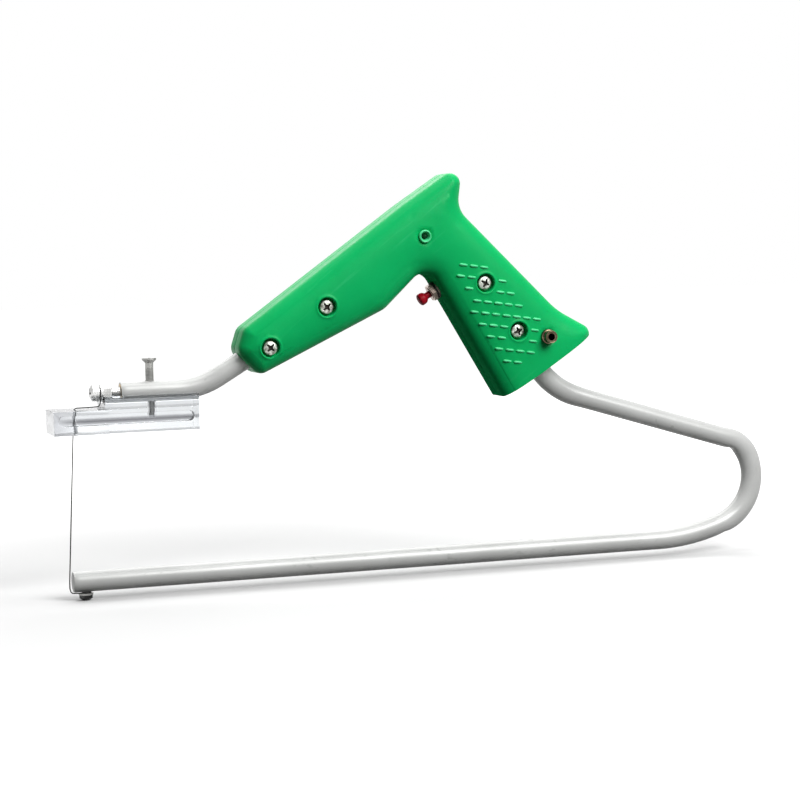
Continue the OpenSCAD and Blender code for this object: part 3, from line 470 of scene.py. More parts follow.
def shell_surface(near):
    """One half of the handle. The rim is the outline carried from the seam over the edge's ellipse, the side is
    a crowned plate, and on the near side each screw has a recess turned about its axis. y runs out from the
    seam."""
    reach = math.acos(1 - RIM_IN / EDGE_IN)
    rounding = [(EDGE_IN * (1 - math.cos(t)), HALF_T - EDGE_DOWN + EDGE_DOWN * math.sin(t))
                for t in np.linspace(0, reach, RIM_STEPS)]
    levels = [(SEAM, 0.0), (0.03, SEAM), (0.0, 2 * SEAM), (0.0, 0.5 * (HALF_T - EDGE_DOWN))] + rounding
    loops = [handle_outline(d) for d, _ in levels]
    rim = loops[-1]
    points = [np.concatenate([np.insert(loop, 1, y, axis=1) for loop, (_, y) in zip(loops, levels)])]
    faces = [grid_faces(len(levels), len(rim))]

    recesses = [(c, RECESS_R) for c in SCREW_PLACES] if near else []
    holes = recesses + ([(LAMP_AT, LAMP_HOLE_R), (SOCKET_AT, SOCKET_HOLE_R)] if near else [])
    lips = SCREW_PLACES if near else np.zeros((0, 2))
    flat, tris, height = side_plate(rim, levels[-1][1], holes, lips)
    faces.append(tris + sum(map(len, points)))
    points.append(np.insert(flat, 1, height, axis=1))

    floor_y = HALF_T - RECESS_DEPTH
    for centre, _ in recesses:
        ring = circle_xz(centre, RECESS_R)
        nearest = np.linalg.norm(flat[None] - ring[:, None], axis=-1).argmin(axis=1)
        top = height[nearest]
        rings = [np.insert(circle_xz(centre, r), 1, top + (floor_y - top) * down, axis=1)
                 for r, down in RECESS_CUP]
        faces.append(grid_faces(len(RECESS_CUP), len(ring)) + sum(map(len, points)))
        points.append(np.concatenate(rings))
    return np.concatenate(points), faces


def handle_shell(name, near, material):
    """A half of the handle as a hollow shell, cut off square at the grip's base and closed there."""
    points, faces = shell_surface(near)
    points[:, 1] = MID_Y + (-1 if near else 1) * points[:, 1]
    face_list = [f if near else f[::-1] for part in faces for f in part.tolist()]
    piece = new_piece(name, points, face_list, material, slot="green_plastic", sharp_deg=SHELL_SHARP_DEG)
    bm = bmesh.new()
    bm.from_mesh(piece.data)
    bmesh.ops.remove_doubles(bm, verts=bm.verts, dist=2 * WELD)
    below = Vector((math.sin(math.radians(BASE_DEG)), 0, -math.cos(math.radians(BASE_DEG))))
    corner = Vector((BASE_CORNER[0], 0, BASE_CORNER[1])) * MM
    cut = bmesh.ops.bisect_plane(bm, geom=bm.verts[:] + bm.edges[:] + bm.faces[:], dist=1e-7,
                                 plane_co=corner, plane_no=below, clear_outer=True)["geom_cut"]
    edges = [e for e in cut if isinstance(e, bmesh.types.BMEdge)]
    loose = [v for v in cut
             if isinstance(v, bmesh.types.BMVert) and sum(e in edges for e in v.link_edges) == 1]
    edges.append(bm.edges.new(loose))
    for base in bmesh.ops.contextual_create(bm, geom=edges)["faces"]:
        base.normal_update()
        if base.normal.dot(below) < 0:
            base.normal_flip()
        base.smooth = True
    bm.to_mesh(piece.data)
    bm.free()
    piece.data.set_sharp_from_angle(angle=math.radians(SHELL_SHARP_DEG))
    skin = piece.modifiers.new("wall", "SOLIDIFY")
    skin.thickness = SHELL_SKIN * MM
    skin.offset = -1
    return piece


def dash_surface(near):
    """Short raised dashes on a lattice: one rounded bar, a squared-off ellipsoid grid, set at each place."""
    spots = np.concatenate([DASH_AT + row * ROW_STEP + np.arange(a, b + 1)[:, None] * DASH_STEP
                            for row, (a, b) in DASH_ROWS.items()])
    if near:
        clear = np.linalg.norm(spots[:, None] - SCREW_PLACES, axis=-1).min(1) > RECESS_R + DASH_FROM_RECESS
        clear &= np.linalg.norm(spots - SOCKET_AT, axis=1) > DASH_FROM_SOCKET
        spots = spots[clear]
    lat = np.linspace(-np.pi / 2, np.pi / 2, DASH_GRID[0])[:, None]
    lon = full_turn(DASH_GRID[1])[None]
    blunt_side, blunt_end = 0.55, 0.8
    ring = np.abs(np.cos(lat)) ** blunt_side
    bar = np.stack([
        DASH_HALF[0] * np.sign(np.sin(lat)) * np.abs(np.sin(lat)) ** blunt_end + 0 * lon,
        DASH_HALF[1] * ring * np.cos(lon),
        DASH_HALF[2] * ring * np.sin(lon),
    ], axis=-1).reshape(-1, 3)
    along = unit(DASH_STEP)
    xz = spots[:, None] + bar[None, :, :1] * along + bar[None, :, 1:2] * left_of(along)
    y = MID_Y + (-1 if near else 1) * (side_height(spots)[:, None] + bar[None, :, 2])
    points = np.stack([xz[..., 0], y, xz[..., 1]], axis=-1).reshape(-1, 3)
    one = grid_faces(*DASH_GRID)
    faces = (one[None] + (np.arange(len(spots)) * len(bar))[:, None, None]).reshape(-1, 4)
    return points, faces if near else faces[:, ::-1]


def turned_surface(start, axis, profile, ring=True):
    """A profile of radius and distance from start turned about an axis in the x, z plane or along Y; closed on
    itself as a ring, or closed at the axis."""
    side = np.cross(axis, [0, 0, 1.0]) if abs(axis[2]) < 0.9 else np.cross(axis, [0, 1.0, 0])
    side = unit(side)
    other = np.cross(axis, side)
    angle = full_turn(ROUND_SIDES)[:, None]
    around = np.cos(angle) * side + np.sin(angle) * other
    points = start + profile[:, 1, None, None] * axis + profile[:, 0, None, None] * around
    return points.reshape(-1, 3), grid_faces(len(profile), len(angle), close_rows=ring)


def screw_surface(centre, turn):
    """One shell screw as a lathe grid about its axis, from the shank's tip to the middle of the head. The head is
    a low dome, and a cross of four tapering arms round a bowl is pressed into it as a height field. u of the map
    is the depth of the cross and v the distance from the axis."""
    dome_fall, dome_power = 0.28, 2.6
    arm_half, arm_taper, arm_soft, arm_reach, arm_end = 0.62, 0.1, 0.18, 2.4, 0.4
    bowl_r, bowl_soft = 1.15, 0.35
    cross_depth, depth_taper = 1.35, 0.3
    angle = full_turn(72)
    reach = np.linspace(HEAD_R - 0.25, 0.0, 26)
    dome = HEAD_H * (1 - dome_fall * (reach / HEAD_R) ** dome_power)
    tip = np.array([[0.0, -SHANK_LEN], [SHANK_R - 0.6, -SHANK_LEN], [SHANK_R, 0.8 - SHANK_LEN], [SHANK_R, 0.0]])
    skirt = np.array([[HEAD_R - 0.1, 0.0], [HEAD_R, 0.12], [HEAD_R, dome[0] - 0.3]])
    r = np.concatenate([tip[:, 0], skirt[:, 0], reach])[:, None]
    out = np.concatenate([tip[:, 1], skirt[:, 1], dome])[:, None] + 0 * angle
    a, b = r * np.cos(angle), r * np.sin(angle)
    along, across = np.maximum(np.abs(a), np.abs(b)), np.minimum(np.abs(a), np.abs(b))
    arm = np.clip((arm_half - arm_taper * along - across) / arm_soft, 0, 1)
    arm = arm * np.clip((arm_reach - along) / arm_end, 0, 1)
    bowl = np.clip((bowl_r - r) / bowl_soft, 0, 1) + 0 * angle
    pressed = np.maximum(arm, bowl) * (cross_depth - depth_taper * along) * (out > 0.7 * HEAD_H)
    out = out - pressed
    c, s = heading(turn)
    points = np.stack([centre[0] + a * c - b * s, MID_Y - HEAD_SEAT - out, centre[1] + a * s + b * c], axis=-1)
    uv = np.stack([pressed, r + 0 * angle], axis=-1)
    return points.reshape(-1, 3), grid_faces(len(r), len(angle)), uv.reshape(-1, 2)


def helix_surface(centre, axis, start, end, radius, pitch, height):
    """A screw thread as a ridge: a triangle of three points carried along a helix about an axis of the row
    frame, from start to end, and run out to nothing at both ends."""
    steps_a_turn, run_out, least, sunk, half_foot = 24, 0.5 * np.pi, 0.02, 0.25, 0.42
    turns = (end - start) / pitch
    t = np.linspace(0, turns * 2 * np.pi, int(turns * steps_a_turn) + 1)
    fade = np.clip(np.minimum(t, t[-1] - t) / run_out, least, 1)
    out = np.stack([-sunk + 0 * t, height * fade, -sunk + 0 * t], axis=-1)
    shift = np.array([-half_foot, 0.0, half_foot]) * pitch
    r = radius + out
    across = [k for k in range(3) if k != axis]
    points = np.zeros((len(t), 3, 3))
    points[..., across[0]] = centre[0] + r * np.cos(t)[:, None]
    points[..., across[1]] = centre[1] + r * np.sin(t)[:, None]
    points[..., axis] = start + (t / (2 * np.pi) * pitch)[:, None] + shift
    last = 3 * (len(t) - 1)
    faces = grid_faces(len(t), 3).tolist() + [[0, 1, 2], [last + 2, last + 1, last]]
    return points.reshape(-1, 3), [f[::-1] for f in faces]


def spring_surface(first, last):
    """A round wire carried along a helix about the button's axis, from first to last along it. The pitch is
    smaller at both ends, where the wire is closed."""
    steps_a_turn, closing, wire_sides = 28, 0.08, 10
    share = np.linspace(0, 1, steps_a_turn * SPRING_TURNS + 1)[:, None]
    turn = 2 * np.pi * SPRING_TURNS * share
    out = np.cos(turn) * SPRING_SIDE + np.sin(turn) * np.cross(BUTTON_AXIS, SPRING_SIDE)
    station = first + (last - first) * (share - closing * np.sin(2 * np.pi * share))
    angle = full_turn(wire_sides)
    r = (SPRING_R + SPRING_WIRE_R * np.cos(angle))[None, :, None]
    points = BUTTON_AT + r * out[:, None] + (station + SPRING_WIRE_R * np.sin(angle))[..., None] * BUTTON_AXIS
    end = np.arange(len(angle))
    faces = grid_faces(len(share), len(angle))[:, ::-1].tolist()
    faces += [end.tolist(), (end[::-1] + len(angle) * (len(share) - 1)).tolist()]
    return points.reshape(-1, 3), faces


def along_button(node):
    """How far the points of a CAD node lie along the button's axis, in millimetres."""
    mesh = frame["nodes"][node].data
    corners = np.empty(3 * len(mesh.vertices), dtype=np.float32)
    mesh.vertices.foreach_get("co", corners)
    return (corners.reshape(-1, 3) / MM - BUTTON_AT) @ BUTTON_AXIS


def clear_copy(name, node, material, lift=0.0):
    """A CAD solid's own faces, joined up, with eased edges; its underside can be lifted off the piece below."""
    mesh = frame["nodes"][node].data.copy()
    mesh.name = name
    bm = bmesh.new()
    bm.from_mesh(mesh)
    bmesh.ops.remove_doubles(bm, verts=bm.verts, dist=WELD)
    bmesh.ops.dissolve_limit(bm, angle_limit=math.radians(1), verts=bm.verts, edges=bm.edges)
    bottom = min(v.co.z for v in bm.verts)
    bmesh.ops.translate(bm, verts=[v for v in bm.verts if v.co.z < bottom + 1e-5], vec=(0, 0, lift * MM))
    bm.to_mesh(mesh)
    bm.free()
    mesh.materials.clear()
    mesh.materials.append(material)
    mesh.shade_smooth()
    mesh.set_sharp_from_angle(angle=math.radians(30))
    piece = bpy.data.objects.new(name, mesh)
    bpy.context.scene.collection.objects.link(piece)
    ease = piece.modifiers.new("eased edges", "BEVEL")
    ease.width = CLEAR_EDGE * MM
    ease.segments = 3
    ease.limit_method = "ANGLE"
    ease.angle_limit = math.radians(50)
    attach(piece, "frame")
    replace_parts(piece, node)
    return piece


# Finishes: shader nodes, shared effects as node groups, and one material a finish

def feed(tree, socket, value):
    """Links a socket to another one, or sets it to a value."""
    if isinstance(value, bpy.types.NodeSocket):
        tree.links.new(value, socket)
    else:
        socket.default_value = value


def new_node(tree, kind, values, **settings):
    """A shader node with its settings made, and its inputs, by name or place, linked or set."""
    node = tree.nodes.new("ShaderNode" + kind)
    for name, value in settings.items():
        setattr(node, name, value)
    for key, value in values.items():
        feed(tree, node.inputs[key], value)
    return node


def maths(tree, operation, *values):
    """The result of an operation on one or two values."""
    return new_node(tree, "Math", dict(enumerate(values)), operation=operation).outputs[0]


def ranged(tree, value, low, high, to_low=0.0, to_high=1.0, curve="LINEAR"):
    """A value mapped from one range to another, and held at its ends."""
    sockets = {"Value": value, "From Min": low, "From Max": high, "To Min": to_low, "To Max": to_high}
    return new_node(tree, "MapRange", sockets, interpolation_type=curve).outputs["Result"]


def mixed(tree, factor, a, b, how="MIX"):
    """Two colours mixed by a factor."""
    sockets = {"Factor": factor, "A": a, "B": b}
    return new_node(tree, "Mix", sockets, data_type="RGBA", blend_type=how).outputs["Result"]


def noise(tree, where, scale, detail=2.0):
    """Noise at a place, as a value."""
    return new_node(tree, "TexNoise", {"Vector": where, "Scale": scale, "Detail": detail}).outputs["Fac"]


def new_group(name, inputs, outputs):
    """An empty shader group with the sockets named: the group, what its inputs give and what its outputs take."""
    group = bpy.data.node_groups.new(name, "ShaderNodeTree")
    for sockets, way in ((inputs, "INPUT"), (outputs, "OUTPUT")):
        for label, kind in sockets.items():
            group.interface.new_socket(label, in_out=way, socket_type="NodeSocket" + kind)
    return group, group.nodes.new("NodeGroupInput").outputs, group.nodes.new("NodeGroupOutput").inputs


def drift_group():
    """Two colours mixed by slow noise, and a finer speckle that darkens a little."""
    speckle_scale = 900.0
    group, given, out = new_group("colour drift", {
        "Vector": "Vector", "Color A": "Color", "Color B": "Color", "Scale": "Float", "Speckle": "Float",
    }, {"Color": "Color"})
    slow = ranged(group, noise(group, given["Vector"], given["Scale"], detail=3.0), 0.35, 0.65)
    drifted = mixed(group, slow, given["Color A"], given["Color B"])
    fine = noise(group, given["Vector"], speckle_scale)
    feed(group, out["Color"], mixed(group, given["Speckle"], drifted, fine, how="MULTIPLY"))
    return group


def grain_group():
    """Fine noise as a roughness between two limits and as a height for bump."""
    group, given, out = new_group("fine grain", {
        "Vector": "Vector", "Scale": "Float", "Low": "Float", "High": "Float",
    }, {"Roughness": "Float", "Height": "Float"})
    grain = noise(group, given["Vector"], given["Scale"], detail=4.0)
    feed(group, out["Roughness"], ranged(group, grain, 0.3, 0.7, given["Low"], given["High"]))
    feed(group, out["Height"], grain)
    return group


def scuff_group():
    """A mask of faint straight marks: noise drawn out along one way, cut off high, and only here and there."""
    lean, draw, mark_scale, patch_scale = math.radians(-38), (8.0, 0.4, 0.4), 150.0, 28.0
    group, given, out = new_group("faint scuffs", {"Vector": "Vector", "Amount": "Float"}, {"Mask": "Float"})
    drawn = new_node(group, "Mapping", {"Vector": given["Vector"], "Rotation": (0, lean, 0), "Scale": draw},
                     vector_type="TEXTURE").outputs["Vector"]
    marks = ranged(group, noise(group, drawn, mark_scale), 0.60, 0.72)
    patches = ranged(group, noise(group, given["Vector"], patch_scale), 0.48, 0.62)
    here = maths(group, "MULTIPLY", marks, patches)
    feed(group, out["Mask"], maths(group, "MULTIPLY", here, given["Amount"]))
    return group


DRIFT = drift_group()
GRAIN = grain_group()
SCUFFS = scuff_group()
BUMP_DEPTH = 0.05


def finish(name, colour_a, colour_b, low, high, *, metal=0.0, drift=25.0, speckle=0.1, grain=700.0, bump=0.05,
           stretch=None, on_uv=False, scuffs=None, **sockets):
    """A Principled material whose colour drifts, whose roughness and bump come from the grain, and whose other
    sockets are set directly. stretch scales the coordinates, so that the grain runs along a drawn piece. scuffs
    is a colour and an amount for marks."""
    material = bpy.data.materials.new(name)
    material.use_nodes = True
    tree = material.node_tree
    where = new_node(tree, "TexCoord", {}).outputs["UV" if on_uv else "Object"]
    grain_at = where
    if stretch:
        grain_at = new_node(tree, "Mapping", {"Vector": where, "Scale": stretch}).outputs["Vector"]
    colour = new_node(tree, "Group", {
        "Vector": where, "Color A": (*colour_a, 1), "Color B": (*colour_b, 1), "Scale": drift, "Speckle": speckle,
    }, node_tree=DRIFT).outputs["Color"]
    fine = new_node(tree, "Group", {"Vector": grain_at, "Scale": grain, "Low": low, "High": high},
                    node_tree=GRAIN).outputs
    relief = new_node(tree, "Bump", {"Strength": bump, "Distance": BUMP_DEPTH * MM, "Height": fine["Height"]})
    if scuffs:
        marks = new_node(tree, "Group", {"Vector": where, "Amount": scuffs[1]}, node_tree=SCUFFS).outputs["Mask"]
        colour = mixed(tree, marks, colour, (*scuffs[0], 1))
    shader = tree.nodes["Principled BSDF"].inputs
    for socket, value in {"Base_Color": colour, "Roughness": fine["Roughness"], "Metallic": metal,
                          "Normal": relief.outputs["Normal"], **sockets}.items():
        feed(tree, shader[socket.replace("_", " ")], value)
    return material


# What several finishes share
METAL = {"metal": 1.0, "speckle": 0.15, "grain": 1500.0, "bump": 0.1}
PLATED = METAL | {"grain": 1800.0}
INSULATION = {"drift": 200.0, "speckle": 0.15, "grain": 2000.0, "bump": 0.2}

FINISHES = {
    "green_plastic": finish(
        "green plastic", (0.003, 0.445, 0.122), (0.002, 0.395, 0.104), 0.30, 0.42, drift=18.0, speckle=0.06,
        grain=260.0, bump=0.03, scuffs=((0.05, 0.54, 0.22), 0.35), Specular_IOR_Level=0.08,
        Subsurface_Weight=0.1, Subsurface_Radius=(0.3, 1.0, 0.5), Subsurface_Scale=0.003),
    # Paler green for the dashes and the lamp ring: a painted highlight, standing in for light caught on their
    # raised tops
    "green_painted_highlight": finish(
        "green plastic with painted highlight", (0.085, 0.70, 0.30), (0.045, 0.60, 0.23), 0.30, 0.42, drift=120.0, speckle=0.12,
        bump=0.10, Specular_IOR_Level=0.3),
    "aluminium": finish(
        "satin aluminium tube", (0.53, 0.535, 0.525), (0.46, 0.465, 0.455), 0.30, 0.42, metal=0.15, speckle=0.08,
        grain=500.0, stretch=(0.06, 1.0, 1.0), on_uv=True, bump=0.12, scuffs=((0.26, 0.26, 0.25), 0.5),
        Specular_IOR_Level=0.25),
    "clear_acrylic": finish(
        "clear acrylic", (0.605, 0.622, 0.635), (0.525, 0.542, 0.558), 0.03, 0.10, drift=40.0, speckle=0.0,
        bump=0.03, IOR=1.49, Transmission_Weight=1.0),
    "steel": finish(
        "bright steel", (0.40, 0.40, 0.385), (0.27, 0.27, 0.26), 0.30, 0.44, drift=220.0, **METAL),
    "zinc": finish(
        "bright zinc plate", (0.72, 0.72, 0.71), (0.50, 0.50, 0.49), 0.18, 0.34, drift=300.0, **METAL),
    "dark_steel": finish(
        "dull steel", (0.075, 0.075, 0.075), (0.03, 0.03, 0.03), 0.20, 0.36, drift=220.0,
        **(METAL | {"speckle": 0.2})),
    "resistance_wire": finish(
        "resistance wire", (0.030, 0.029, 0.028), (0.018, 0.017, 0.016), 0.35, 0.55, metal=0.6, drift=60.0,
        speckle=0.2, grain=2500.0, bump=0.2),
    "brass": finish(
        "bare brass", (0.50, 0.33, 0.12), (0.38, 0.24, 0.08), 0.25, 0.42, drift=200.0, **METAL),
    "nickel": finish(
        "nickel plate", (0.36, 0.29, 0.25), (0.22, 0.17, 0.145), 0.24, 0.4, drift=260.0, **PLATED),
    "nickel_brass": finish(
        "worn nickel on brass", (0.19, 0.155, 0.105), (0.08, 0.06, 0.035), 0.13, 0.24, drift=300.0, **PLATED),
    "red_plastic": finish(
        "red plastic", (0.42, 0.006, 0.020), (0.33, 0.004, 0.012), 0.30, 0.42, drift=300.0, speckle=0.1, bump=0.1,
        Specular_IOR_Level=0.1),
    "dark_fibre": finish(
        "dark fibre", (0.012, 0.012, 0.012), (0.02, 0.018, 0.016), 0.6, 0.8, drift=500.0, speckle=0.3,
        grain=2500.0, bump=0.4, Specular_IOR_Level=0.2),
    "black_plastic": finish(
        "black moulded plastic", (0.012, 0.012, 0.013), (0.018, 0.018, 0.018), 0.4, 0.6, drift=300.0, speckle=0.2,
        grain=1500.0, bump=0.3),
    "dark_lens": finish(
        "unlit lens", (0.004, 0.055, 0.018), (0.003, 0.035, 0.012), 0.3, 0.4, drift=500.0, speckle=0.1, bump=0.02,
        Specular_IOR_Level=0.05),
    "resistor_body": finish(
        "resistor lacquer", (0.50, 0.32, 0.15), (0.42, 0.26, 0.12), 0.35, 0.5, drift=800.0, speckle=0.2,
        grain=2500.0, bump=0.2),
    "red_insulation": finish(
        "red lead insulation", (0.35, 0.012, 0.010), (0.28, 0.010, 0.008), 0.45, 0.6, **INSULATION),
    "black_insulation": finish(
        "black lead insulation", (0.010, 0.010, 0.010), (0.018, 0.018, 0.018), 0.45, 0.6, **INSULATION),
}


def reworked(look, name):
    """A copy of a finish under its own name: the material, its tree, the Principled inputs and the places."""
    material = FINISHES[look].copy()
    material.name = name
    tree = material.node_tree
    return material, tree, tree.nodes["Principled BSDF"].inputs, tree.nodes["Texture Coordinate"].outputs


def steel_with_painted_cross_shade():
    """Steel for the shell screws, with shade painted dark where the cross is pressed in: the map's u darkens it.
    """
    painted_cross_shade, full_at = (0.02, 0.018, 0.015, 1), 0.5
    tones = {"Color A": (0.60, 0.63, 0.57, 1), "Color B": (0.13, 0.14, 0.11, 1), "Scale": 560.0}
    material, tree, shader, where = reworked("steel", "steel with painted cross shade")
    tint = shader["Base Color"].links[0].from_node
    for socket, value in tones.items():
        feed(tree, tint.inputs[socket], value)
    pressed = new_node(tree, "SeparateXYZ", {0: where["UV"]}).outputs["X"]
    # Painted shade: the pressed cross is darkened by its depth, as if shade fell in it
    cross_shaded = mixed(tree, ranged(tree, pressed, 0.0, full_at), tint.outputs["Color"], painted_cross_shade)
    feed(tree, shader["Base Color"], cross_shaded)
    return material


def gripped_plastic():
    """Green plastic rubbed matt along the front of the grip, where fingers close on it: a band either side of
    the front's plane, below the trigger finger's place."""
    band_out, band_in, top, full_below = (size * MM for size in (9.0, 5.0, 156.0, 150.0))
    material, tree, shader, where = reworked("green_plastic", "gripped green plastic")
    along = new_node(tree, "VectorMath", {0: where["Object"], 1: BUTTON_AXIS}, operation="DOT_PRODUCT")
    away = maths(tree, "ABSOLUTE", maths(tree, "SUBTRACT", along.outputs["Value"], GRIP_FRONT * MM))
    height = new_node(tree, "SeparateXYZ", {0: where["Object"]}).outputs["Z"]
    band = ranged(tree, away, band_out, band_in, curve="SMOOTHSTEP")
    below = ranged(tree, height, top, full_below, curve="SMOOTHSTEP")
    rubbed = maths(tree, "MULTIPLY", band, below)
    grain = shader["Roughness"].links[0].from_socket
    feed(tree, shader["Roughness"], maths(tree, "MAXIMUM", rubbed, grain))
    return material


def acrylic_with_painted_shade():
    """Clear acrylic with painted shade: grey painted at the guide's free end, and a dark streak of painted
    shade along the deepest part of its milled groove."""
    groove_painted_shade, end_painted_shade = (0.10, 0.102, 0.112, 1), (0.39, 0.40, 0.42, 1)
    streak_out, streak_in, groove_from, groove_to, end_length = 1.5, 0.4, 5.4, 5.9, 16.0
    material, tree, shader, where = reworked("clear_acrylic", "clear acrylic with painted shade")
    low, high = box_mm("guide_block")
    groove_z = low[2] + 0.48 * (high[2] - low[2])
    at = new_node(tree, "SeparateXYZ", {0: where["Object"]}).outputs
    away = maths(tree, "ABSOLUTE", maths(tree, "SUBTRACT", at["Z"], groove_z * MM))
    spans = ((away, streak_out, streak_in), (at["Y"], low[1] + groove_from, low[1] + groove_to),
             (at["X"], low[0] + end_length, low[0]))
    streak, deep, end = (ranged(tree, value, first * MM, last * MM, curve="SMOOTHSTEP")
                         for value, first, last in spans)
    colour = shader["Base Color"].links[0].from_socket
    # Painted shade: the dark streak in the groove and the grey at the free end
    for mask, tone in ((maths(tree, "MULTIPLY", streak, deep), groove_painted_shade), (end, end_painted_shade)):
        colour = mixed(tree, mask, colour, tone)
    feed(tree, shader["Base Color"], colour)
    return material


# Pieces

for sub in frame["record"]["subparts"]:
    solid = frame["nodes"][sub["node"]]
    solid.data.materials.clear()
    solid.data.materials.append(FINISHES[sub["material_slot"]])

GREEN = gripped_plastic()
for side, near in (("near", True), ("far", False)):
    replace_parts(handle_shell(f"handle_{side}", near, GREEN), f"handle_shell_{side}")
    # the dashes take the paler green of a painted highlight
    new_piece(f"grip_dashes_{side}", *dash_surface(near), FINISHES["green_painted_highlight"],
              slot="green_plastic", sharp_deg=70)

OUTWARD = np.array([0, -1.0, 0])
# The lamp ring takes the paler green of a painted highlight.
for name, place, profile, look, slot, node in (
        ("lamp_ring", LAMP_AT, LAMP_RING_PROFILE, "green_painted_highlight", "green_plastic", "indicator_bezel"),
        ("socket_sleeve", SOCKET_AT, SLEEVE_PROFILE, "nickel_brass", "nickel_brass", "socket_sleeve_nut")):
    start = np.array([place[0], MID_Y - HALF_T, place[1]])
    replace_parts(new_piece(name, *turned_surface(start, OUTWARD, profile), FINISHES[look],
                          slot=slot, sharp_deg=60), node)

tip = BUTTON_AT + along_button("button_cap").min() * BUTTON_AXIS
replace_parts(new_piece("red_cap", *turned_surface(tip, BUTTON_AXIS, CAP_PROFILE, ring=False),
                      FINISHES["red_plastic"], body="button", slot="red_plastic", sharp_deg=60), "button_cap")
coils = along_button("button_spring")
spring = new_piece("return_spring", *spring_surface(coils.min() + SPRING_WIRE_R, coils.max() - SPRING_WIRE_R),
                   FINISHES["steel"], slot="steel", sharp_deg=70)
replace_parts(spring, "button_spring")
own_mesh(spring)

for node in ("terminal_screw", "terminal_nut", "terminal_washers"):
    frame["nodes"][node].data.materials[0] = FINISHES["zinc"]

screws = [screw_surface(place, turn) for place, turn in zip(SCREW_PLACES, SCREW_TURNS)]
points = np.concatenate([screw[0] for screw in screws])
faces = np.concatenate([screw[1] + k * len(screw[0]) for k, screw in enumerate(screws)])
uv = np.concatenate([screw[2] for screw in screws])
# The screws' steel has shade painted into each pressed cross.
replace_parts(new_piece("cross_head_screws", points, faces, steel_with_painted_cross_shade(), slot="steel", uv=uv, sharp_deg=60),
            "shell_screws")

for name, path, swell, dents, node in (("bow", bow_path(), 0.1, BOW_DENTS, "bow_tube"),
                                       ("nose_arm", nose_path(), 0.03, (), "nose_tube")):
    points, faces, uv = tube_surface(path, swell, dents)
    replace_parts(new_piece(name, points, faces, FINISHES["aluminium"], slot="aluminium", uv=uv), node)

# The guide's clear acrylic has shade painted into its groove and at its free end.
clear_copy("wire_guide", "guide_block", acrylic_with_painted_shade())
clear_copy("arm_cradle", "guide_plate", FINISHES["clear_acrylic"], lift=0.08)

# Each thread's axis, stretch along it, radius and pitch
CLAMP_LOW, CLAMP_HIGH = box_mm("clamp_screw")
CLAMP_AT = ((CLAMP_LOW + CLAMP_HIGH) / 2)[:2]
NUT_HIGH = box_mm("terminal_nut")[1]
for name, centre, axis, stretch, radius, pitch in (
        ("clamp_thread", CLAMP_AT, 2, (ARM_Z + TUBE_R - 1, CLAMP_HIGH[2] - 4.4), 2.0, 0.7),
        ("terminal_thread", (MID_Y, ARM_Z), 0, (NUT_HIGH[0] - 0.5, ARM_END_X + 0.3), 2.5, 0.8)):
    new_piece(name, *helix_surface(centre, axis, *stretch, radius, pitch, THREAD_H), FINISHES["steel"],
              slot="steel", sharp_deg=70)


# Stage: floor, world, lamps and camera

# Floor: half its width in metres, its grey as it lights the part and as it is seen, and where its glow begins
# and is full
FLOOR_HALF = 6.0
FLOOR_GREYS = (0.05, 0.65)
GLOW_FROM = 0.2
GLOW_FULL = 0.8
AMBIENT = 0.08
# Lamps: place, aim and size in metres, and watts
LAMPS = {
    "key": ((0.40, -0.82, 0.80), (0.0, 0.0, 0.1), (0.7, 0.6), 15.5),
    "overhead": ((0.0, -0.12, 1.2), (0.0, 0.0, 0.05), (1.0, 0.6), 7.5),
    "back": ((0.05, 0.74, 0.9), (0.0, 0.0, 0.1), (1.4, 1.0), 12.5),
}
# Camera: degrees to the left, above the horizon and rolled, the point aimed at, the distance in metres, the lens
# and the sensor
VIEW_DEG = (18.0, 4.0, 1.5)
VIEW_AIM = (-14.2, MID_Y, 88.3)
VIEW_DISTANCE = 1.07
LENS = 96.75
SENSOR = 36.0


def seen_rays(tree):
    """One where a camera, glossy or transmitted ray looks, else nought."""
    path = new_node(tree, "LightPath", {}).outputs
    direct = maths(tree, "MAXIMUM", path["Is Camera Ray"], path["Is Glossy Ray"])
    return maths(tree, "MAXIMUM", direct, path["Is Transmission Ray"])


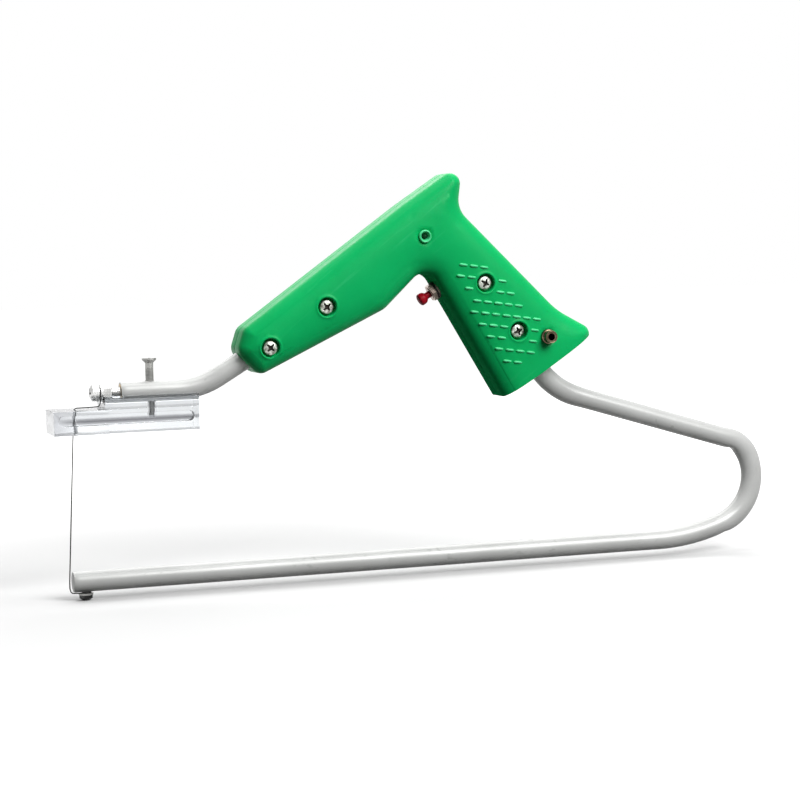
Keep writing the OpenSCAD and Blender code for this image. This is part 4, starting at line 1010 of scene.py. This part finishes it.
def floor(size):
    """A wide level sheet: matt under the part, where it takes the shadow, and glowing white further out."""
    mesh = bpy.data.meshes.new("floor")
    mesh.from_pydata([(-size, -size, 0), (size, -size, 0), (size, size, 0), (-size, size, 0)], [], [(0, 1, 2, 3)])
    material = bpy.data.materials.new("pale floor")
    material.use_nodes = True
    tree = material.node_tree
    tree.nodes.remove(tree.nodes["Principled BSDF"])
    seen = seen_rays(tree)
    tone = mixed(tree, seen, *((grey, grey, grey, 1) for grey in FLOOR_GREYS))
    where = new_node(tree, "TexCoord", {}).outputs["Object"]
    far = new_node(tree, "VectorMath", {0: where}, operation="LENGTH").outputs["Value"]
    glow = maths(tree, "MULTIPLY", ranged(tree, far, GLOW_FROM, GLOW_FULL, curve="SMOOTHSTEP"), seen)
    matt = new_node(tree, "BsdfDiffuse", {"Color": tone}).outputs[0]
    light = new_node(tree, "Emission", {"Strength": glow}).outputs[0]
    both = new_node(tree, "AddShader", {0: matt, 1: light}).outputs[0]
    feed(tree, tree.nodes["Material Output"].inputs["Surface"], both)
    mesh.materials.append(material)
    sheet = bpy.data.objects.new("floor", mesh)
    bpy.context.scene.collection.objects.link(sheet)


def studio_world(ambient):
    """White where it is seen, and a dimmer ambient light elsewhere."""
    world = bpy.data.worlds.new("studio")
    bpy.context.scene.world = world
    world.use_nodes = True
    tree = world.node_tree
    background = tree.nodes["Background"].inputs
    background["Color"].default_value = (1, 1, 1, 1)
    feed(tree, background["Strength"], ranged(tree, seen_rays(tree), 0.0, 1.0, ambient, 1.0))


def soft_lamp(name, place, aim, size, watts):
    """A rectangular area lamp at a place, turned towards its aim."""
    lamp = bpy.data.lights.new(name, "AREA")
    lamp.shape = "RECTANGLE"
    lamp.size, lamp.size_y = size
    lamp.energy = watts
    holder = bpy.data.objects.new(name, lamp)
    holder.location = place
    holder.rotation_euler = (Vector(aim) - Vector(place)).to_track_quat("-Z", "Y").to_euler()
    bpy.context.scene.collection.objects.link(holder)


def photo_camera():
    """The photograph's viewing angle: a camera that looks along its heading and dip, from a distance short of
    its aim, with its right and up turned by the roll."""
    turn, tilt, roll = (math.radians(a) for a in VIEW_DEG)
    aim = Vector(VIEW_AIM) * MM
    far = Vector((math.sin(turn) * math.cos(tilt), math.cos(turn) * math.cos(tilt), -math.sin(tilt)))
    right = Vector((math.cos(turn), -math.sin(turn), 0))
    up = right.cross(far)
    rolled_up = up * math.cos(roll) + right * math.sin(roll)
    rolled_right = right * math.cos(roll) - up * math.sin(roll)
    data = bpy.data.cameras.new("camera")
    data.sensor_width = SENSOR
    data.lens = LENS
    camera = bpy.data.objects.new("camera", data)
    turned = Matrix((rolled_right, rolled_up, -far)).transposed().to_4x4()
    camera.matrix_world = Matrix.Translation(aim - far * VIEW_DISTANCE) @ turned
    bpy.context.scene.collection.objects.link(camera)
    bpy.context.scene.camera = camera


floor(FLOOR_HALF)
studio_world(AMBIENT)
for name, lamp in LAMPS.items():
    soft_lamp(name, *lamp)
photo_camera()
bpy.context.scene.view_settings.view_transform = "Standard"
